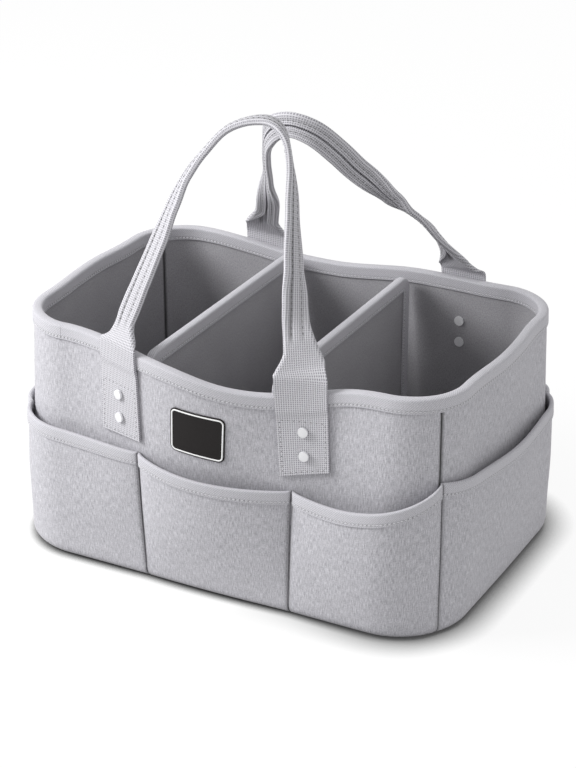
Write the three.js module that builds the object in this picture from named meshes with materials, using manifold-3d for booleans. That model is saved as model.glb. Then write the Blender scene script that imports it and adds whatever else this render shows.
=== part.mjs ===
// Fabric caddy with outer pockets, two webbing handles and two lift-out dividers.
// Millimetres, +Z up. The origin is in the middle of the underside; the label faces -Y.
import * as THREE from 'three';
import * as BufferGeometryUtils from 'three/addons/utils/BufferGeometryUtils.js';
import Module from 'manifold-3d';

const wasm = await Module();
wasm.setup();

// Driving sizes
const gap = 0.3; // clearance between layers that touch
const weld = gap / 1000; // corners closer than this are one
const body = {
  length: 373, depth: 258, cornerRadius: 56, // outer face of the wall at the base
  rimLength: 365, rimDepth: 229, rimCornerRadius: 46, height: 190,
  edgeRadius: 9, // rounded edge between wall and underside
  frontBow: 31, frontBowCentre: -12, frontBowReach: 124, // how far the front wall bellies out at the rim
  backBow: 2, backBowReach: 120, endBow: 4, endBowReach: 66,
  frontDip: 12, frontDipCentre: 45, frontDipReach: 91, // how far the rim sags
  backDip: 9, backDipCentre: -30, backDipReach: 104,
};
const layer = { outer: 1.2, board: 2.4, lining: 1 };
const binding = { width: 9.5, thickness: 1.1 };
const pocket = { thickness: 1.1, bindingWidth: 9, bindingThickness: 0.9, scoop: 3 };
const webbing = { width: 38, thickness: 2.2, fold: 0.5, slit: 0.9 };
const foot = { length: 70, rampLength: 7, standOver: 2.6, seat: 0.6 };
const rivet = { capRadius: 4, capHeight: 1.7, shankRadius: 1.4, washerHeight: 1, seat: 0.6 };
const rivetDrops = { upper: 35, lower: 54.5 }; // below the top of the wall
const label = {
  width: 44.5, height: 37.5, cornerRadius: 5, thickness: 1, centreX: -4, centreDrop: 49.8, tilt: 4,
};
const labelLine = { inset: 1.1, width: 1.2, thickness: 0.4 };
const divider = {
  thickness: 4, top: 187, cornerRadius: 10, wallClearance: 1.6, hookWidth: 3.4, hookThickness: 1,
};
const dividerPlaces = { left_divider: -54, right_divider: 50 };
// Handles as they stand: feet across the wall, height and lean of the loop, slant of each foot's lower end
const handles = {
  front: { leftFoot: -75, rightFoot: 76, apex: 185, lean: 27, bend: 4, leftRise: 0, rightRise: 8 },
  back: { leftFoot: -82, rightFoot: 95, apex: 178, lean: 37, bend: 4, leftRise: 0, rightRise: 0 },
};
// Lengths along a strap from its foot, between which it folds in half and turns square to its loop
const folds = { front: { startLength: 2, endLength: 34 }, back: { startLength: 1, endLength: 24 } };
const turns = { front: { startLength: 8, endLength: 45 }, back: { startLength: 4, endLength: 34 } };

// Where the outer pockets end, going round from the front left corner seam
const frontSeams = { left: -57, right: 66 };
const backSeams = { left: -62, right: 62 };
// How far the pockets' tops lie below the top of the wall
const pocketDrops = {
  frontLeft: 78, frontSeamLeft: 81, frontSeamRight: 86, frontRight: 66, back: 80, end: 78,
};
const pocketBulge = { frontLeft: 9, frontMiddle: 13, frontRight: 15, back: 10, end: 7 };

// Shares of the sizes above
const cornerSeamShare = 0.58; // how far round a corner the upright seam lies, from the long side
// Heights at which a wall has a row of corners: a wall with more bow needs more of them
const wallLevelShares = { front: [0, 0.28, 0.56, 0.78], right: [0, 0.5], back: [0], left: [0, 0.5] };
const pocketLevelShares = [0, 0.3, 0.62];
const pocketRimShape = 0.62; // fullness of a pocket between its seams
const curlShare = 0.02; // how far a strap is folded where it leaves its foot
const pocketBaseShare = 0.12; // how much of its fullness a pocket has at its foot
const dividerLevelShares = [0, 0.33, 0.67, 1];
const labelEdgeShares = [0.33, 0.67]; // extra points along the label's long edges
const patchRingShares = [0.02, 0.5, 1];
// Handle routes: across as a share of half the foot spacing, up as a share of the apex
const routeShares = {
  front: [
    [-1, 0], [-0.99, 0.1], [-0.95, 0.2], [-0.89, 0.32], [-0.82, 0.46], [-0.755, 0.6], [-0.67, 0.73],
    [-0.53, 0.84], [-0.35, 0.94], [-0.12, 0.99], [0.07, 1], [0.2, 0.98], [0.31, 0.93], [0.39, 0.86],
    [0.46, 0.78], [0.57, 0.6], [0.7, 0.4], [0.84, 0.21], [0.96, 0.06], [1, 0],
  ],
  back: [
    [-1, 0], [-0.98, 0.06], [-0.93, 0.14], [-0.8, 0.32], [-0.67, 0.5], [-0.55, 0.71], [-0.43, 0.87],
    [-0.29, 0.96], [-0.13, 0.99], [0.04, 0.955], [0.2, 0.84], [0.33, 0.72], [0.48, 0.62], [0.63, 0.51],
    [0.76, 0.43], [0.87, 0.32], [0.955, 0.16], [1, 0],
  ],
};
// How far each strap's outer face is turned outwards from its loop, as a share of a right angle,
// at a share of the strap's length
const twistShares = {
  front: [
    [0, 0], [0.05, 0.1], [0.12, 0.26], [0.2, 0.32], [0.27, 0.45], [0.33, 0.58], [0.38, 0.66], [0.5, 0.75],
    [0.6, 1.25], [0.7, 1.07], [0.8, 0.93], [0.86, 0.68], [0.93, 0.3], [1, 0],
  ],
  back: [
    [0, 0], [0.13, 0], [0.25, -0.6], [0.36, -0.68], [0.46, -0.4], [0.58, -0.66], [0.65, -0.54], [0.72, 0.02],
    [0.78, 0.27], [0.86, 0.5], [0.95, 0.15], [1, 0],
  ],
};

// Mesh densities
const sideSteps = 18;
const endSteps = 6;
const cornerSteps = 3; // on each side of a corner seam
const pocketSteps = 10;
const handleSteps = 38;
const roundSteps = 8;
const footColumns = 6;
const labelCornerSteps = 3;
const leastStop = 0.01; // least distance between two places on the wall
const fitSamples = 24; // heights at which a divider is fitted to the wall above it

const sideCount = 8; // four sides and the four corners between them
const wallThickness = layer.outer + gap + layer.board + gap + layer.lining;
const rimTop = gap + binding.thickness;

const mix = (a, b, t) => a + (b - a) * t;
const clamp01 = (t) => THREE.MathUtils.clamp(t, 0, 1);
const smooth = (t) => THREE.MathUtils.smoothstep(t, 0, 1);
const swell = (at, centre, reach) => Math.cos((Math.PI / 2) * clamp01(Math.abs(at - centre) / reach)) ** 2;

// Materials
const grey = (color, roughness = 0.9) => new THREE.MeshStandardMaterial({ color, roughness, metalness: 0 });
const finish = {
  cloth: () => grey(0xb4b3b8),
  binding: () => grey(0xc6c5ca),
  lining: () => grey(0xa3a2a8),
  board: () => grey(0xe6e4df),
  webbing: () => grey(0xb9b8bd, 0.85),
  rubber: () => grey(0x24241f, 0.5),
  line: () => grey(0xf4f4f4, 0.5),
  hook: () => grey(0x8e8e93, 0.95),
  metal: () => new THREE.MeshStandardMaterial({ color: 0xe8e8ea, roughness: 0.28, metalness: 0.9 }),
};

// Wall surface. A place round the caddy is a number from 0 to 8: even counts start the front, right,
// back and left sides, odd counts start the corners between them.
const wrapped = (place) => ((place % sideCount) + sideCount) % sideCount;
function plan(place, z) {
  const rise = z / body.height;
  const a = mix(body.length, body.rimLength, rise) / 2;
  const b = mix(body.depth, body.rimDepth, rise) / 2;
  const r = mix(body.cornerRadius, body.rimCornerRadius, rise);
  const rimStraight = [body.rimLength, body.rimDepth].map((size) => size / 2 - body.rimCornerRadius);
  const turn = wrapped(place);
  const side = Math.floor(turn);
  const f = turn - side;
  if (side % 2 === 1) {
    const angle = (Math.PI / 2) * ((side - 1) / 2 + f - 1);
    const cx = (side === 1 || side === 3 ? 1 : -1) * (a - r);
    const cy = (side === 3 || side === 5 ? 1 : -1) * (b - r);
    return [cx + r * Math.cos(angle), cy + r * Math.sin(angle)];
  }
  const along = mix(-1, 1, f);
  if (side === 0) {
    const x = along * (a - r);
    const bow = body.frontBow * swell(along * rimStraight[0], body.frontBowCentre, body.frontBowReach);
    return [x, -b - rise * bow];
  }
  if (side === 4) {
    const x = -along * (a - r);
    return [x, b + rise * body.backBow * swell(along * rimStraight[0], 0, body.backBowReach)];
  }
  const sign = side === 2 ? 1 : -1;
  const bow = body.endBow * swell(along * rimStraight[1], 0, body.endBowReach);
  return [sign * (a + rise * bow), sign * along * (b - r)];
}

function outward(place, z) {
  const nudge = leastStop / 5;
  const [x0, y0] = plan(place - nudge, z);
  const [x1, y1] = plan(place + nudge, z);
  const length = Math.hypot(x1 - x0, y1 - y0);
  return [(y1 - y0) / length, -(x1 - x0) / length];
}

function rimHeight(place) {
  const turn = wrapped(place);
  const [x] = plan(turn, body.height);
  if (turn < 1) return body.height - body.frontDip * swell(x, body.frontDipCentre, body.frontDipReach);
  const dip = turn >= 4 && turn < 5 ? body.backDip : 0;
  return body.height - dip * swell(x, body.backDipCentre, body.backDipReach);
}

function atHeight(place, z, out) {
  const [x, y] = plan(place, z);
  const [nx, ny] = outward(place, z);
  return new THREE.Vector3(x + nx * out, y + ny * out, z);
}

// A level below zero is an angle down the rounded bottom edge; from 0 to 1 it runs up to the top
function onWall(place, level, out, top = rimHeight(place)) {
  const r = body.edgeRadius;
  if (level >= 0) return atHeight(place, mix(r, top, level), out);
  const point = atHeight(place, r, (r + out) * Math.cos(level) - r);
  point.z = r + (r + out) * Math.sin(level);
  return point;
}

// Place of a given x on the front or back side
function placeOfX(side, x, z) {
  const half = mix(body.length, body.rimLength, z / body.height) / 2
    - mix(body.cornerRadius, body.rimCornerRadius, z / body.height);
  const share = (x / half + 1) / 2;
  return side === 'front' ? share : 5 - share;
}

// Stops round the caddy, shared by all layers so that their facets run parallel
const cornerShares = Array.from({ length: cornerSteps }, (unused, i) => i / cornerSteps);
const cornerStops = [
  ...cornerShares.map((share) => cornerSeamShare * share),
  ...cornerShares.map((share) => mix(cornerSeamShare, 1, share)),
];
function stops(from, to) {
  const list = [];
  for (let side = -1; side <= sideCount; side += 1) {
    const kind = wrapped(side);
    if (kind % 2 === 1) {
      const mirrored = kind === 3 || kind === 7;
      const shares = mirrored ? cornerStops.map((f) => 1 - f).reverse() : cornerStops;
      shares.forEach((f) => list.push(side + f));
    } else {
      const steps = kind % 4 === 0 ? sideSteps : endSteps;
      for (let i = 0; i < steps; i += 1) list.push(side + i / steps);
    }
  }
  return [from, ...list.filter((p) => p > from + leastStop && p < to - leastStop), to];
}
const seams = {
  frontLeft: -cornerSeamShare, frontRight: 1 + cornerSeamShare,
  backRight: 4 - cornerSeamShare, backLeft: 5 + cornerSeamShare,
};
const seamGap = gap / 2 / (body.rimCornerRadius * Math.PI / 2);

// Closed mesh from points and faces, turned so that its faces point out
function closed(points, faces) {
  let volume = 0;
  for (const [i, j, k] of faces) volume += points[i].dot(points[j].clone().cross(points[k]));
  const geometry = new THREE.BufferGeometry();
  geometry.setAttribute('position', new THREE.Float32BufferAttribute(points.flatMap((p) => p.toArray()), 3));
  geometry.setIndex(faces.flatMap(([i, j, k]) => (volume > 0 ? [i, j, k] : [i, k, j])));
  return geometry;
}

// Thin sheet between an inner and an outer face; point(i, j, face) gives its corners
function sheet(columns, rows, point, ring = false) {
  const points = [];
  const spans = ring ? columns : columns - 1;
  for (const face of [0, 1]) {
    for (let i = 0; i < columns; i += 1) {
      for (let j = 0; j < rows; j += 1) points.push(point(i, j, face));
    }
  }
  const at = (i, j, face) => face * columns * rows + (i % columns) * rows + j;
  const faces = [];
  const quad = (a, b, c, d) => faces.push([a, b, c], [a, c, d]);
  for (let i = 0; i < spans; i += 1) {
    for (let j = 0; j < rows - 1; j += 1) {
      quad(at(i, j, 1), at(i + 1, j, 1), at(i + 1, j + 1, 1), at(i, j + 1, 1));
      quad(at(i, j, 0), at(i, j + 1, 0), at(i + 1, j + 1, 0), at(i + 1, j, 0));
    }
    quad(at(i, 0, 0), at(i + 1, 0, 0), at(i + 1, 0, 1), at(i, 0, 1));
    quad(at(i, rows - 1, 0), at(i, rows - 1, 1), at(i + 1, rows - 1, 1), at(i + 1, rows - 1, 0));
  }
  if (!ring) {
    for (let j = 0; j < rows - 1; j += 1) {
      quad(at(0, j, 0), at(0, j, 1), at(0, j + 1, 1), at(0, j + 1, 0));
      const last = columns - 1;
      quad(at(last, j, 0), at(last, j + 1, 0), at(last, j + 1, 1), at(last, j, 1));
    }
  }
  return closed(points, faces);
}

// Bar whose section is a polygon of [across, up] pairs; place(i, across, up) gives its corners
function bar(stations, section, place, ring = false) {
  const points = [];
  for (let i = 0; i < stations; i += 1) {
    for (const [across, up] of section(i)) points.push(place(i, across, up));
  }
  const n = section(0).length;
  const faces = [];
  for (let i = 0; i < (ring ? stations : stations - 1); i += 1) {
    const next = (i + 1) % stations;
    for (let j = 0; j < n; j += 1) {
      const k = (j + 1) % n;
      faces.push([i * n + j, next * n + j, next * n + k], [i * n + j, next * n + k, i * n + k]);
    }
  }
  if (!ring) {
    const { area, triangulateShape } = THREE.ShapeUtils;
    for (const [i, reversed] of [[0, false], [stations - 1, true]]) {
      const outline = section(i).map(([across, up]) => new THREE.Vector2(across, up));
      for (const corners of triangulateShape(outline, [])) {
        const [a, b, c] = corners.map((corner) => i * n + corner);
        const inOrder = area(corners.map((corner) => outline[corner])) * area(outline) > 0;
        faces.push(inOrder !== reversed ? [a, b, c] : [a, c, b]);
      }
    }
  }
  return closed(points, faces);
}

// Boolean cut
function toManifold(geometry) {
  const bare = geometry.clone();
  bare.deleteAttribute('normal');
  bare.deleteAttribute('uv');
  const merged = BufferGeometryUtils.mergeVertices(bare, weld);
  return new wasm.Manifold(new wasm.Mesh({
    numProp: 3, vertProperties: new Float32Array(merged.attributes.position.array),
    triVerts: new Uint32Array(merged.index.array),
  }));
}
function cut(geometry, tools) {
  let solid = toManifold(geometry);
  for (const tool of tools) solid = solid.subtract(toManifold(tool));
  const mesh = solid.getMesh();
  const result = new THREE.BufferGeometry();
  result.setAttribute('position', new THREE.Float32BufferAttribute(mesh.vertProperties, 3));
  result.setIndex([...mesh.triVerts]);
  return result;
}

const caddy = new THREE.Group();
function add(name, geometry, material) {
  const mesh = new THREE.Mesh(geometry, material);
  mesh.name = name;
  caddy.add(mesh);
  return mesh;
}

// Handles
const feetPlaces = [];
for (const side of ['front', 'back']) {
  for (const end of ['left', 'right']) {
    feetPlaces.push({ side, end, x: handles[side][`${end}Foot`], rise: handles[side][`${end}Rise`] });
  }
}
const outSign = { front: -1, back: 1 };
const hingeHeight = {};
for (const side of ['front', 'back']) {
  const rims = feetPlaces.filter((f) => f.side === side).flatMap((f) => [-1, 0, 1].map((k) => (
    rimHeight(placeOfX(side, f.x + k * webbing.width / 2, body.height)))));
  hingeHeight[side] = Math.max(...rims) + rimTop + foot.standOver / 2;
}

// How far the inner face of a strap foot stands off the wall: it climbs over the rim binding
function footOut(place, z) {
  const low = rimHeight(place) - binding.width;
  const climbed = smooth((z - low + foot.rampLength) / (foot.rampLength - gap));
  return mix(foot.seat, gap + binding.thickness + gap, climbed);
}
function footPoint({ side, x }, across, z, out) {
  const place = placeOfX(side, x + across, z);
  return atHeight(place, z, footOut(place, z) + out);
}
function buildFoot(spot) {
  const top = hingeHeight[spot.side] - gap;
  const rows = (across) => {
    const low = rimHeight(placeOfX(spot.side, spot.x + across, body.height)) - binding.width;
    const bottom = body.height - foot.length + spot.rise * (across / webbing.width);
    return [bottom, low - foot.rampLength, low - foot.rampLength / 2, low - gap, top];
  };
  return sheet(footColumns, rows(0).length, (i, j, face) => {
    const across = mix(-webbing.width / 2, webbing.width / 2, i / (footColumns - 1));
    return footPoint(spot, across, rows(across)[j], face * webbing.thickness);
  });
}

// Rivets run from a cap on the strap to a washer on the lining
const rivetRows = ['upper', 'lower'];
const rivetPlaces = feetPlaces.flatMap((spot) => (
  rivetRows.map((row) => ({ ...spot, row, z: body.height - rivetDrops[row] }))));
function rivetFrame({ side, x, z }) {
  const place = placeOfX(side, x, z);
  const [nx, ny] = outward(place, z);
  const frame = new THREE.Matrix4().makeBasis(
    new THREE.Vector3(0, 0, 1), new THREE.Vector3(nx, ny, 0), new THREE.Vector3(-ny, nx, 0));
  return frame.setPosition(atHeight(place, z, 0));
}
const onStrap = foot.seat + webbing.thickness + rivet.seat;
const onLining = -wallThickness - rivet.seat;
function buildRivet(spot) {
  const rim = rivet.capHeight / 3; // upright edge of the domed cap
  const profile = [
    [0, onLining - rivet.washerHeight], [rivet.capRadius, onLining - rivet.washerHeight],
    [rivet.capRadius, onLining], [rivet.shankRadius, onLining],
    [rivet.shankRadius, onStrap], [rivet.capRadius, onStrap],
    [rivet.capRadius, onStrap + rim],
    [rivet.capRadius * Math.SQRT1_2, onStrap + mix(rim, rivet.capHeight, Math.SQRT1_2)],
    [0, onStrap + rivet.capHeight],
  ].map(([radius, height]) => new THREE.Vector2(radius, height));
  return new THREE.LatheGeometry(profile, roundSteps).applyMatrix4(rivetFrame(spot));
}
function holeTool(spot) {
  const depth = onStrap - onLining + 4 * gap;
  const radius = rivet.shankRadius + gap;
  const tool = new THREE.CylinderGeometry(radius, radius, depth, roundSteps);
  return tool.translate(0, (onStrap + onLining) / 2, 0).applyMatrix4(rivetFrame(spot));
}
const holes = { front: [], back: [] };
for (const spot of rivetPlaces) holes[spot.side].push(holeTool(spot));

// Walls: outer cloth, stiffening board and lining
const walls = {
  front: [seams.frontLeft, seams.frontRight], right: [seams.frontRight, seams.backRight],
  back: [seams.backRight, seams.backLeft], left: [seams.backLeft, sideCount + seams.frontLeft],
};
function wallSheet(side, places, arcs, out, thickness) {
  const shares = [...arcs, ...wallLevelShares[side]];
  const levels = (place) => [...shares, 1 - binding.width / (rimHeight(place) - body.edgeRadius), 1];
  return sheet(places.length, levels(0).length, (i, j, face) => (
    onWall(places[i], levels(places[i])[j], out - (1 - face) * thickness)));
}
const underside = -Math.PI / 2;
for (const [side, [from, to]] of Object.entries(walls)) {
  const places = stops(from + seamGap, to - seamGap);
  const punched = (geometry) => (holes[side] ? cut(geometry, holes[side]) : geometry);
  const cloth = wallSheet(side, places, [underside, underside / 2], 0, layer.outer);
  add(`outer_${side}_panel`, punched(cloth), finish.cloth());
  const board = wallSheet(side, places.slice(1, -1), [], -layer.outer - gap, layer.board);
  add(`${side}_stiffener`, punched(board), finish.board());
  const lining = wallSheet(side, places, [underside], layer.lining - wallThickness, layer.lining);
  add(`lining_${side}_panel`, punched(lining), finish.lining());
}
const around = stops(0, sideCount).slice(0, -1);

// Base: cloth, board and lining floor lie inside the rounded edge
function plate(low, thickness) {
  const outline = around.map((place) => atHeight(place, body.edgeRadius, -body.edgeRadius - gap));
  const shape = new THREE.Shape(outline.map((p) => new THREE.Vector2(p.x, p.y)));
  const geometry = new THREE.ExtrudeGeometry(shape, { depth: thickness, bevelEnabled: false });
  return geometry.translate(0, 0, low);
}
add('outer_base', plate(0, layer.outer), finish.cloth());
add('base_board', plate(layer.outer + gap, layer.board), finish.board());
add('lining_floor', plate(layer.outer + layer.board + 2 * gap, layer.lining), finish.lining());
const floorTop = wallThickness;

// Folded tape over an edge: its section around a core from low to high. A narrow fold has one ridge.
function tape(low, high, width, thickness, lean = 0) {
  const a = low - gap;
  const b = high + gap;
  const top = gap + thickness;
  const crown = high - low > 2 * thickness ? [[b, top], [a, top]] : [[mix(a, b, 1 / 2), top]];
  return [
    [a - lean, -width], [a, gap], [b, gap], [b - lean, -width],
    [b + thickness - lean, -width], [b + thickness, gap], ...crown,
    [a - thickness, gap], [a - thickness - lean, -width],
  ];
}
const rimPlaces = around.map((place) => ({ place, top: rimHeight(place) }));
add('rim_binding', bar(
  rimPlaces.length, () => tape(-wallThickness, 0, binding.width, binding.thickness),
  (i, out, up) => atHeight(rimPlaces[i].place, rimPlaces[i].top + up, out), true), finish.binding());

// Pockets
const seat = { low: gap, high: 2 * gap + pocket.bindingThickness };
const pocketFoot = Math.asin((body.edgeRadius - gap) / (body.edgeRadius + gap + pocket.thickness));
function pocketOut(share, level, bulge) {
  const rise = Math.sin((Math.PI / 2) * clamp01(mix(pocketBaseShare, 1, level)));
  const across = Math.sin(Math.PI * share) ** pocketRimShape;
  return mix(seat.low, seat.high, smooth(level / pocketLevelShares[2])) + bulge * rise * across;
}
function buildPocket(name, from, to, topFrom, topTo, sag, bulge) {
  const length = (p, q) => atHeight(p, body.edgeRadius, 0).distanceTo(atHeight(q, body.edgeRadius, 0));
  const onCorner = (p) => Math.floor(wrapped(p)) % 2 === 1 || Number.isInteger(p);
  const places = [from + seamGap];
  const inner = stops(from, to).slice(1, -1);
  const spacing = length(from, (from + to) / 2) / pocketSteps; // half a step
  for (const p of inner) {
    const far = length(places[places.length - 1], p) > spacing && length(p, to) > spacing;
    if (far || onCorner(p)) places.push(p);
  }
  places.push(to - seamGap);
  const travelled = [0];
  places.slice(1).forEach((p, i) => travelled.push(travelled[i] + length(places[i], p)));
  const shares = travelled.map((t) => t / travelled[travelled.length - 1]);
  const tops = shares.map((s) => mix(topFrom, topTo, s) - sag * Math.sin(Math.PI * s));
  const tapeLevel = (i) => 1 - pocket.bindingWidth / (tops[i] - body.edgeRadius);
  const levels = (i) => [-pocketFoot, -pocketFoot / 2, ...pocketLevelShares, tapeLevel(i), 1];
  const out = (i, level) => pocketOut(shares[i], Math.max(level, 0), bulge * (level < 0 ? 0 : 1));
  const ease = (i, level) => (level < 0 ? mix(gap, out(i, 0), 1 + level / pocketFoot) : out(i, level));
  add(`${name}_pocket`, sheet(places.length, levels(0).length, (i, j, face) => {
    const level = levels(i)[j];
    return onWall(places[i], level, ease(i, level) + face * pocket.thickness, tops[i]);
  }), finish.cloth());
  add(`${name}_pocket_binding`, bar(places.length, (i) => {
    const high = out(i, 1);
    const lean = high - out(i, tapeLevel(i));
    return tape(high, high + pocket.thickness, pocket.bindingWidth, pocket.bindingThickness, lean);
  }, (i, across, up) => atHeight(places[i], tops[i] + up, across)), finish.binding());
}
const half = (side, x) => placeOfX(side, x, body.edgeRadius);
const tops = Object.fromEntries(
  Object.entries(pocketDrops).map(([name, drop]) => [name, body.height - drop]));
buildPocket('front_left', seams.frontLeft, half('front', frontSeams.left),
  tops.frontLeft, tops.frontSeamLeft, 0, pocketBulge.frontLeft);
buildPocket('front_middle', half('front', frontSeams.left), half('front', frontSeams.right),
  tops.frontSeamLeft, tops.frontSeamRight, pocket.scoop, pocketBulge.frontMiddle);
buildPocket('front_right', half('front', frontSeams.right), seams.frontRight,
  tops.frontSeamRight, tops.frontRight, 3 * pocket.scoop, pocketBulge.frontRight);
buildPocket('right_end', seams.frontRight, seams.backRight,
  tops.frontRight, tops.end, pocket.scoop, pocketBulge.end);
buildPocket('back_right', seams.backRight, half('back', backSeams.right),
  tops.end, tops.back, pocket.scoop, pocketBulge.back);
buildPocket('back_middle', half('back', backSeams.right), half('back', backSeams.left),
  tops.back, tops.back, pocket.scoop, pocketBulge.back);
buildPocket('back_left', half('back', backSeams.left), seams.backLeft,
  tops.back, tops.end, pocket.scoop, pocketBulge.back);
buildPocket('left_end', seams.backLeft, sideCount + seams.frontLeft,
  tops.end, tops.frontLeft, pocket.scoop, pocketBulge.end);

// Label: a rubber patch with a raised line near its edge, both bent to the wall
function labelOutline(inset) {
  const w = label.width / 2 - inset;
  const h = label.height / 2 - inset;
  const r = Math.max(label.cornerRadius - inset, gap);
  const points = [];
  for (const [sx, sz, start] of [[1, 1, 0], [-1, 1, 1], [-1, -1, 2], [1, -1, 3]]) {
    for (let i = 0; i <= labelCornerSteps; i += 1) {
      const angle = (Math.PI / 2) * (start + i / labelCornerSteps);
      points.push([sx * (w - r) + r * Math.cos(angle), sz * (h - r) + r * Math.sin(angle)]);
    }
    if (sx * sz > 0) points.push(...labelEdgeShares.map((share) => [mix(sx, -sx, share) * (w - r), sz * h]));
  }
  return points;
}
const onLabelWall = (x, z, out) => {
  const turn = THREE.MathUtils.degToRad(label.tilt);
  const across = x * Math.cos(turn) + z * Math.sin(turn);
  const height = body.height - label.centreDrop + z * Math.cos(turn) - x * Math.sin(turn);
  return atHeight(placeOfX('front', label.centreX + across, height), height, out);
};
const patchOutline = labelOutline(0);
function buildPatch() {
  const n = patchOutline.length;
  const points = [];
  const faces = [];
  for (const face of [0, 1]) {
    for (const ring of patchRingShares) {
      const out = gap + face * label.thickness;
      for (const [x, z] of patchOutline) points.push(onLabelWall(x * ring, z * ring, out));
    }
  }
  const rings = patchRingShares.length;
  const at = (face, ring, i) => (face * rings + ring) * n + (i % n);
  for (let i = 0; i < n; i += 1) {
    for (let ring = 0; ring < rings - 1; ring += 1) {
      faces.push([at(1, ring, i), at(1, ring + 1, i), at(1, ring + 1, i + 1)]);
      faces.push([at(1, ring, i), at(1, ring + 1, i + 1), at(1, ring, i + 1)]);
      faces.push([at(0, ring, i), at(0, ring + 1, i + 1), at(0, ring + 1, i)]);
      faces.push([at(0, ring, i), at(0, ring, i + 1), at(0, ring + 1, i + 1)]);
    }
    faces.push([at(0, rings - 1, i), at(0, rings - 1, i + 1), at(1, rings - 1, i + 1)]);
    faces.push([at(0, rings - 1, i), at(1, rings - 1, i + 1), at(1, rings - 1, i)]);
  }
  for (let i = 1; i < n - 1; i += 1) {
    faces.push([at(1, 0, 0), at(1, 0, i), at(1, 0, i + 1)]);
    faces.push([at(0, 0, 0), at(0, 0, i + 1), at(0, 0, i)]);
  }
  return closed(points, faces);
}
add('label_patch', buildPatch(), finish.rubber());
const lineRings = [labelOutline(labelLine.inset + labelLine.width), labelOutline(labelLine.inset)];
const lineOut = gap + label.thickness + gap;
add('label_line', sheet(patchOutline.length, 2, (i, j, face) => (
  onLabelWall(...lineRings[j][i], lineOut + face * labelLine.thickness)), true), finish.line());

// Strap feet and rivets
for (const spot of feetPlaces) {
  const tools = rivetPlaces.filter((r) => r.side === spot.side && r.end === spot.end).map(holeTool);
  add(`${spot.side}_${spot.end}_strap_foot`, cut(buildFoot(spot), tools), finish.webbing());
}
for (const spot of rivetPlaces) {
  add(`${spot.side}_${spot.end}_${spot.row}_rivet`, buildRivet(spot), finish.metal());
}

// A handle is one strap: flat at its feet, then folded lengthwise, its edges inside, into a narrow grip
const sinc = (t) => (t === 0 ? 1 : Math.sin(t) / t);
function strapSection(folded) {
  const t = webbing.thickness / 2;
  const angle = Math.PI * folded;
  const bendLength = Math.PI * (t + webbing.fold / 2);
  const flat = webbing.width / 4 - bendLength / 2 + webbing.slit / 2;
  const flap = flat - webbing.slit;
  const bend = [0, 1 / 2, 1].map((share) => {
    const turned = angle * share;
    const run = bendLength * share;
    return [flat + run * sinc(turned), -run * sinc(turned / 2) * Math.sin(turned / 2)];
  });
  const tip = [bend[2][0] + flap * Math.cos(angle), bend[2][1] - flap * Math.sin(angle)];
  const right = [...bend, tip];
  const path = [...right.map(([across, up]) => [-across, up]).reverse(), ...right];
  const faces = path.map(([across, up], i) => {
    const [x0, y0] = path[Math.max(0, i - 1)];
    const [x1, y1] = path[Math.min(path.length - 1, i + 1)];
    const shift = t / Math.hypot(x1 - x0, y1 - y0);
    return [-1, 1].map((way) => [across - way * (y1 - y0) * shift, up + way * (x1 - x0) * shift]);
  });
  return [...faces.map(([inner]) => inner), ...faces.map(([, outer]) => outer).reverse()];
}
function twistAt(table, share) {
  const next = Math.max(1, table.findIndex(([at]) => at >= share));
  const [[from, a], [to, b]] = table.slice(next - 1, next + 1);
  return (Math.PI / 2) * mix(a, b, smooth((share - from) / (to - from)));
}
function strapFrames(side) {
  const { leftFoot, rightFoot, apex, bend, lean } = handles[side];
  const { startLength: foldStart, endLength: foldEnd } = folds[side];
  const { startLength: turnStart, endLength: turnEnd } = turns[side];
  const tilt = THREE.MathUtils.degToRad(lean);
  const sign = outSign[side];
  const base = hingeHeight[side];
  const spots = feetPlaces.filter((f) => f.side === side);
  const feet = spots.map((spot) => footPoint(spot, 0, base, webbing.thickness / 2));
  const curve = new THREE.CatmullRomCurve3(routeShares[side].map(([across, up]) => {
    const share = (across + 1) / 2;
    const h = up * apex;
    const inward = h - bend * (1 - Math.exp(-h / bend));
    const y = mix(feet[0].y, feet[1].y, share) - sign * inward * Math.sin(tilt);
    return new THREE.Vector3(mix(leftFoot, rightFoot, share), y, base + h * Math.cos(tilt));
  }), false, 'centripetal');
  const length = curve.getLength();
  const front = new THREE.Vector3(0, sign * Math.cos(tilt), Math.sin(tilt));
  return Array.from({ length: handleSteps + 1 }, (unused, i) => {
    const u = i / handleSteps;
    const left = u < 1 / 2;
    const fromFoot = length * Math.min(u, 1 - u);
    const tangent = curve.getTangentAt(u);
    if (i === 0 || i === handleSteps) tangent.set(0, 0, left ? 1 : -1);
    const spot = spots[left ? 0 : 1];
    const nudge = left ? gap : -gap;
    const alongWall = footPoint(spot, nudge, base, 0).sub(footPoint(spot, -nudge, base, 0)).normalize();
    const inPlane = new THREE.Vector3().crossVectors(tangent, front).multiplyScalar(-sign).normalize();
    const square = smooth((fromFoot - turnStart) / (turnEnd - turnStart));
    const inner = alongWall.lerp(inPlane, square);
    inner.addScaledVector(tangent, -inner.dot(tangent)).normalize();
    const outer = new THREE.Vector3().crossVectors(inner, tangent).multiplyScalar(-sign);
    const twist = twistAt(twistShares[side], u);
    const folded = smooth((fromFoot - foldStart) / (foldEnd - foldStart));
    return {
      point: curve.getPointAt(u),
      width: inner.clone().multiplyScalar(Math.cos(twist)).addScaledVector(outer, Math.sin(twist)),
      outer: outer.multiplyScalar(Math.cos(twist)).addScaledVector(inner, -Math.sin(twist)),
      folded: mix(curlShare, 1, folded),
    };
  });
}
const hinges = {};
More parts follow.
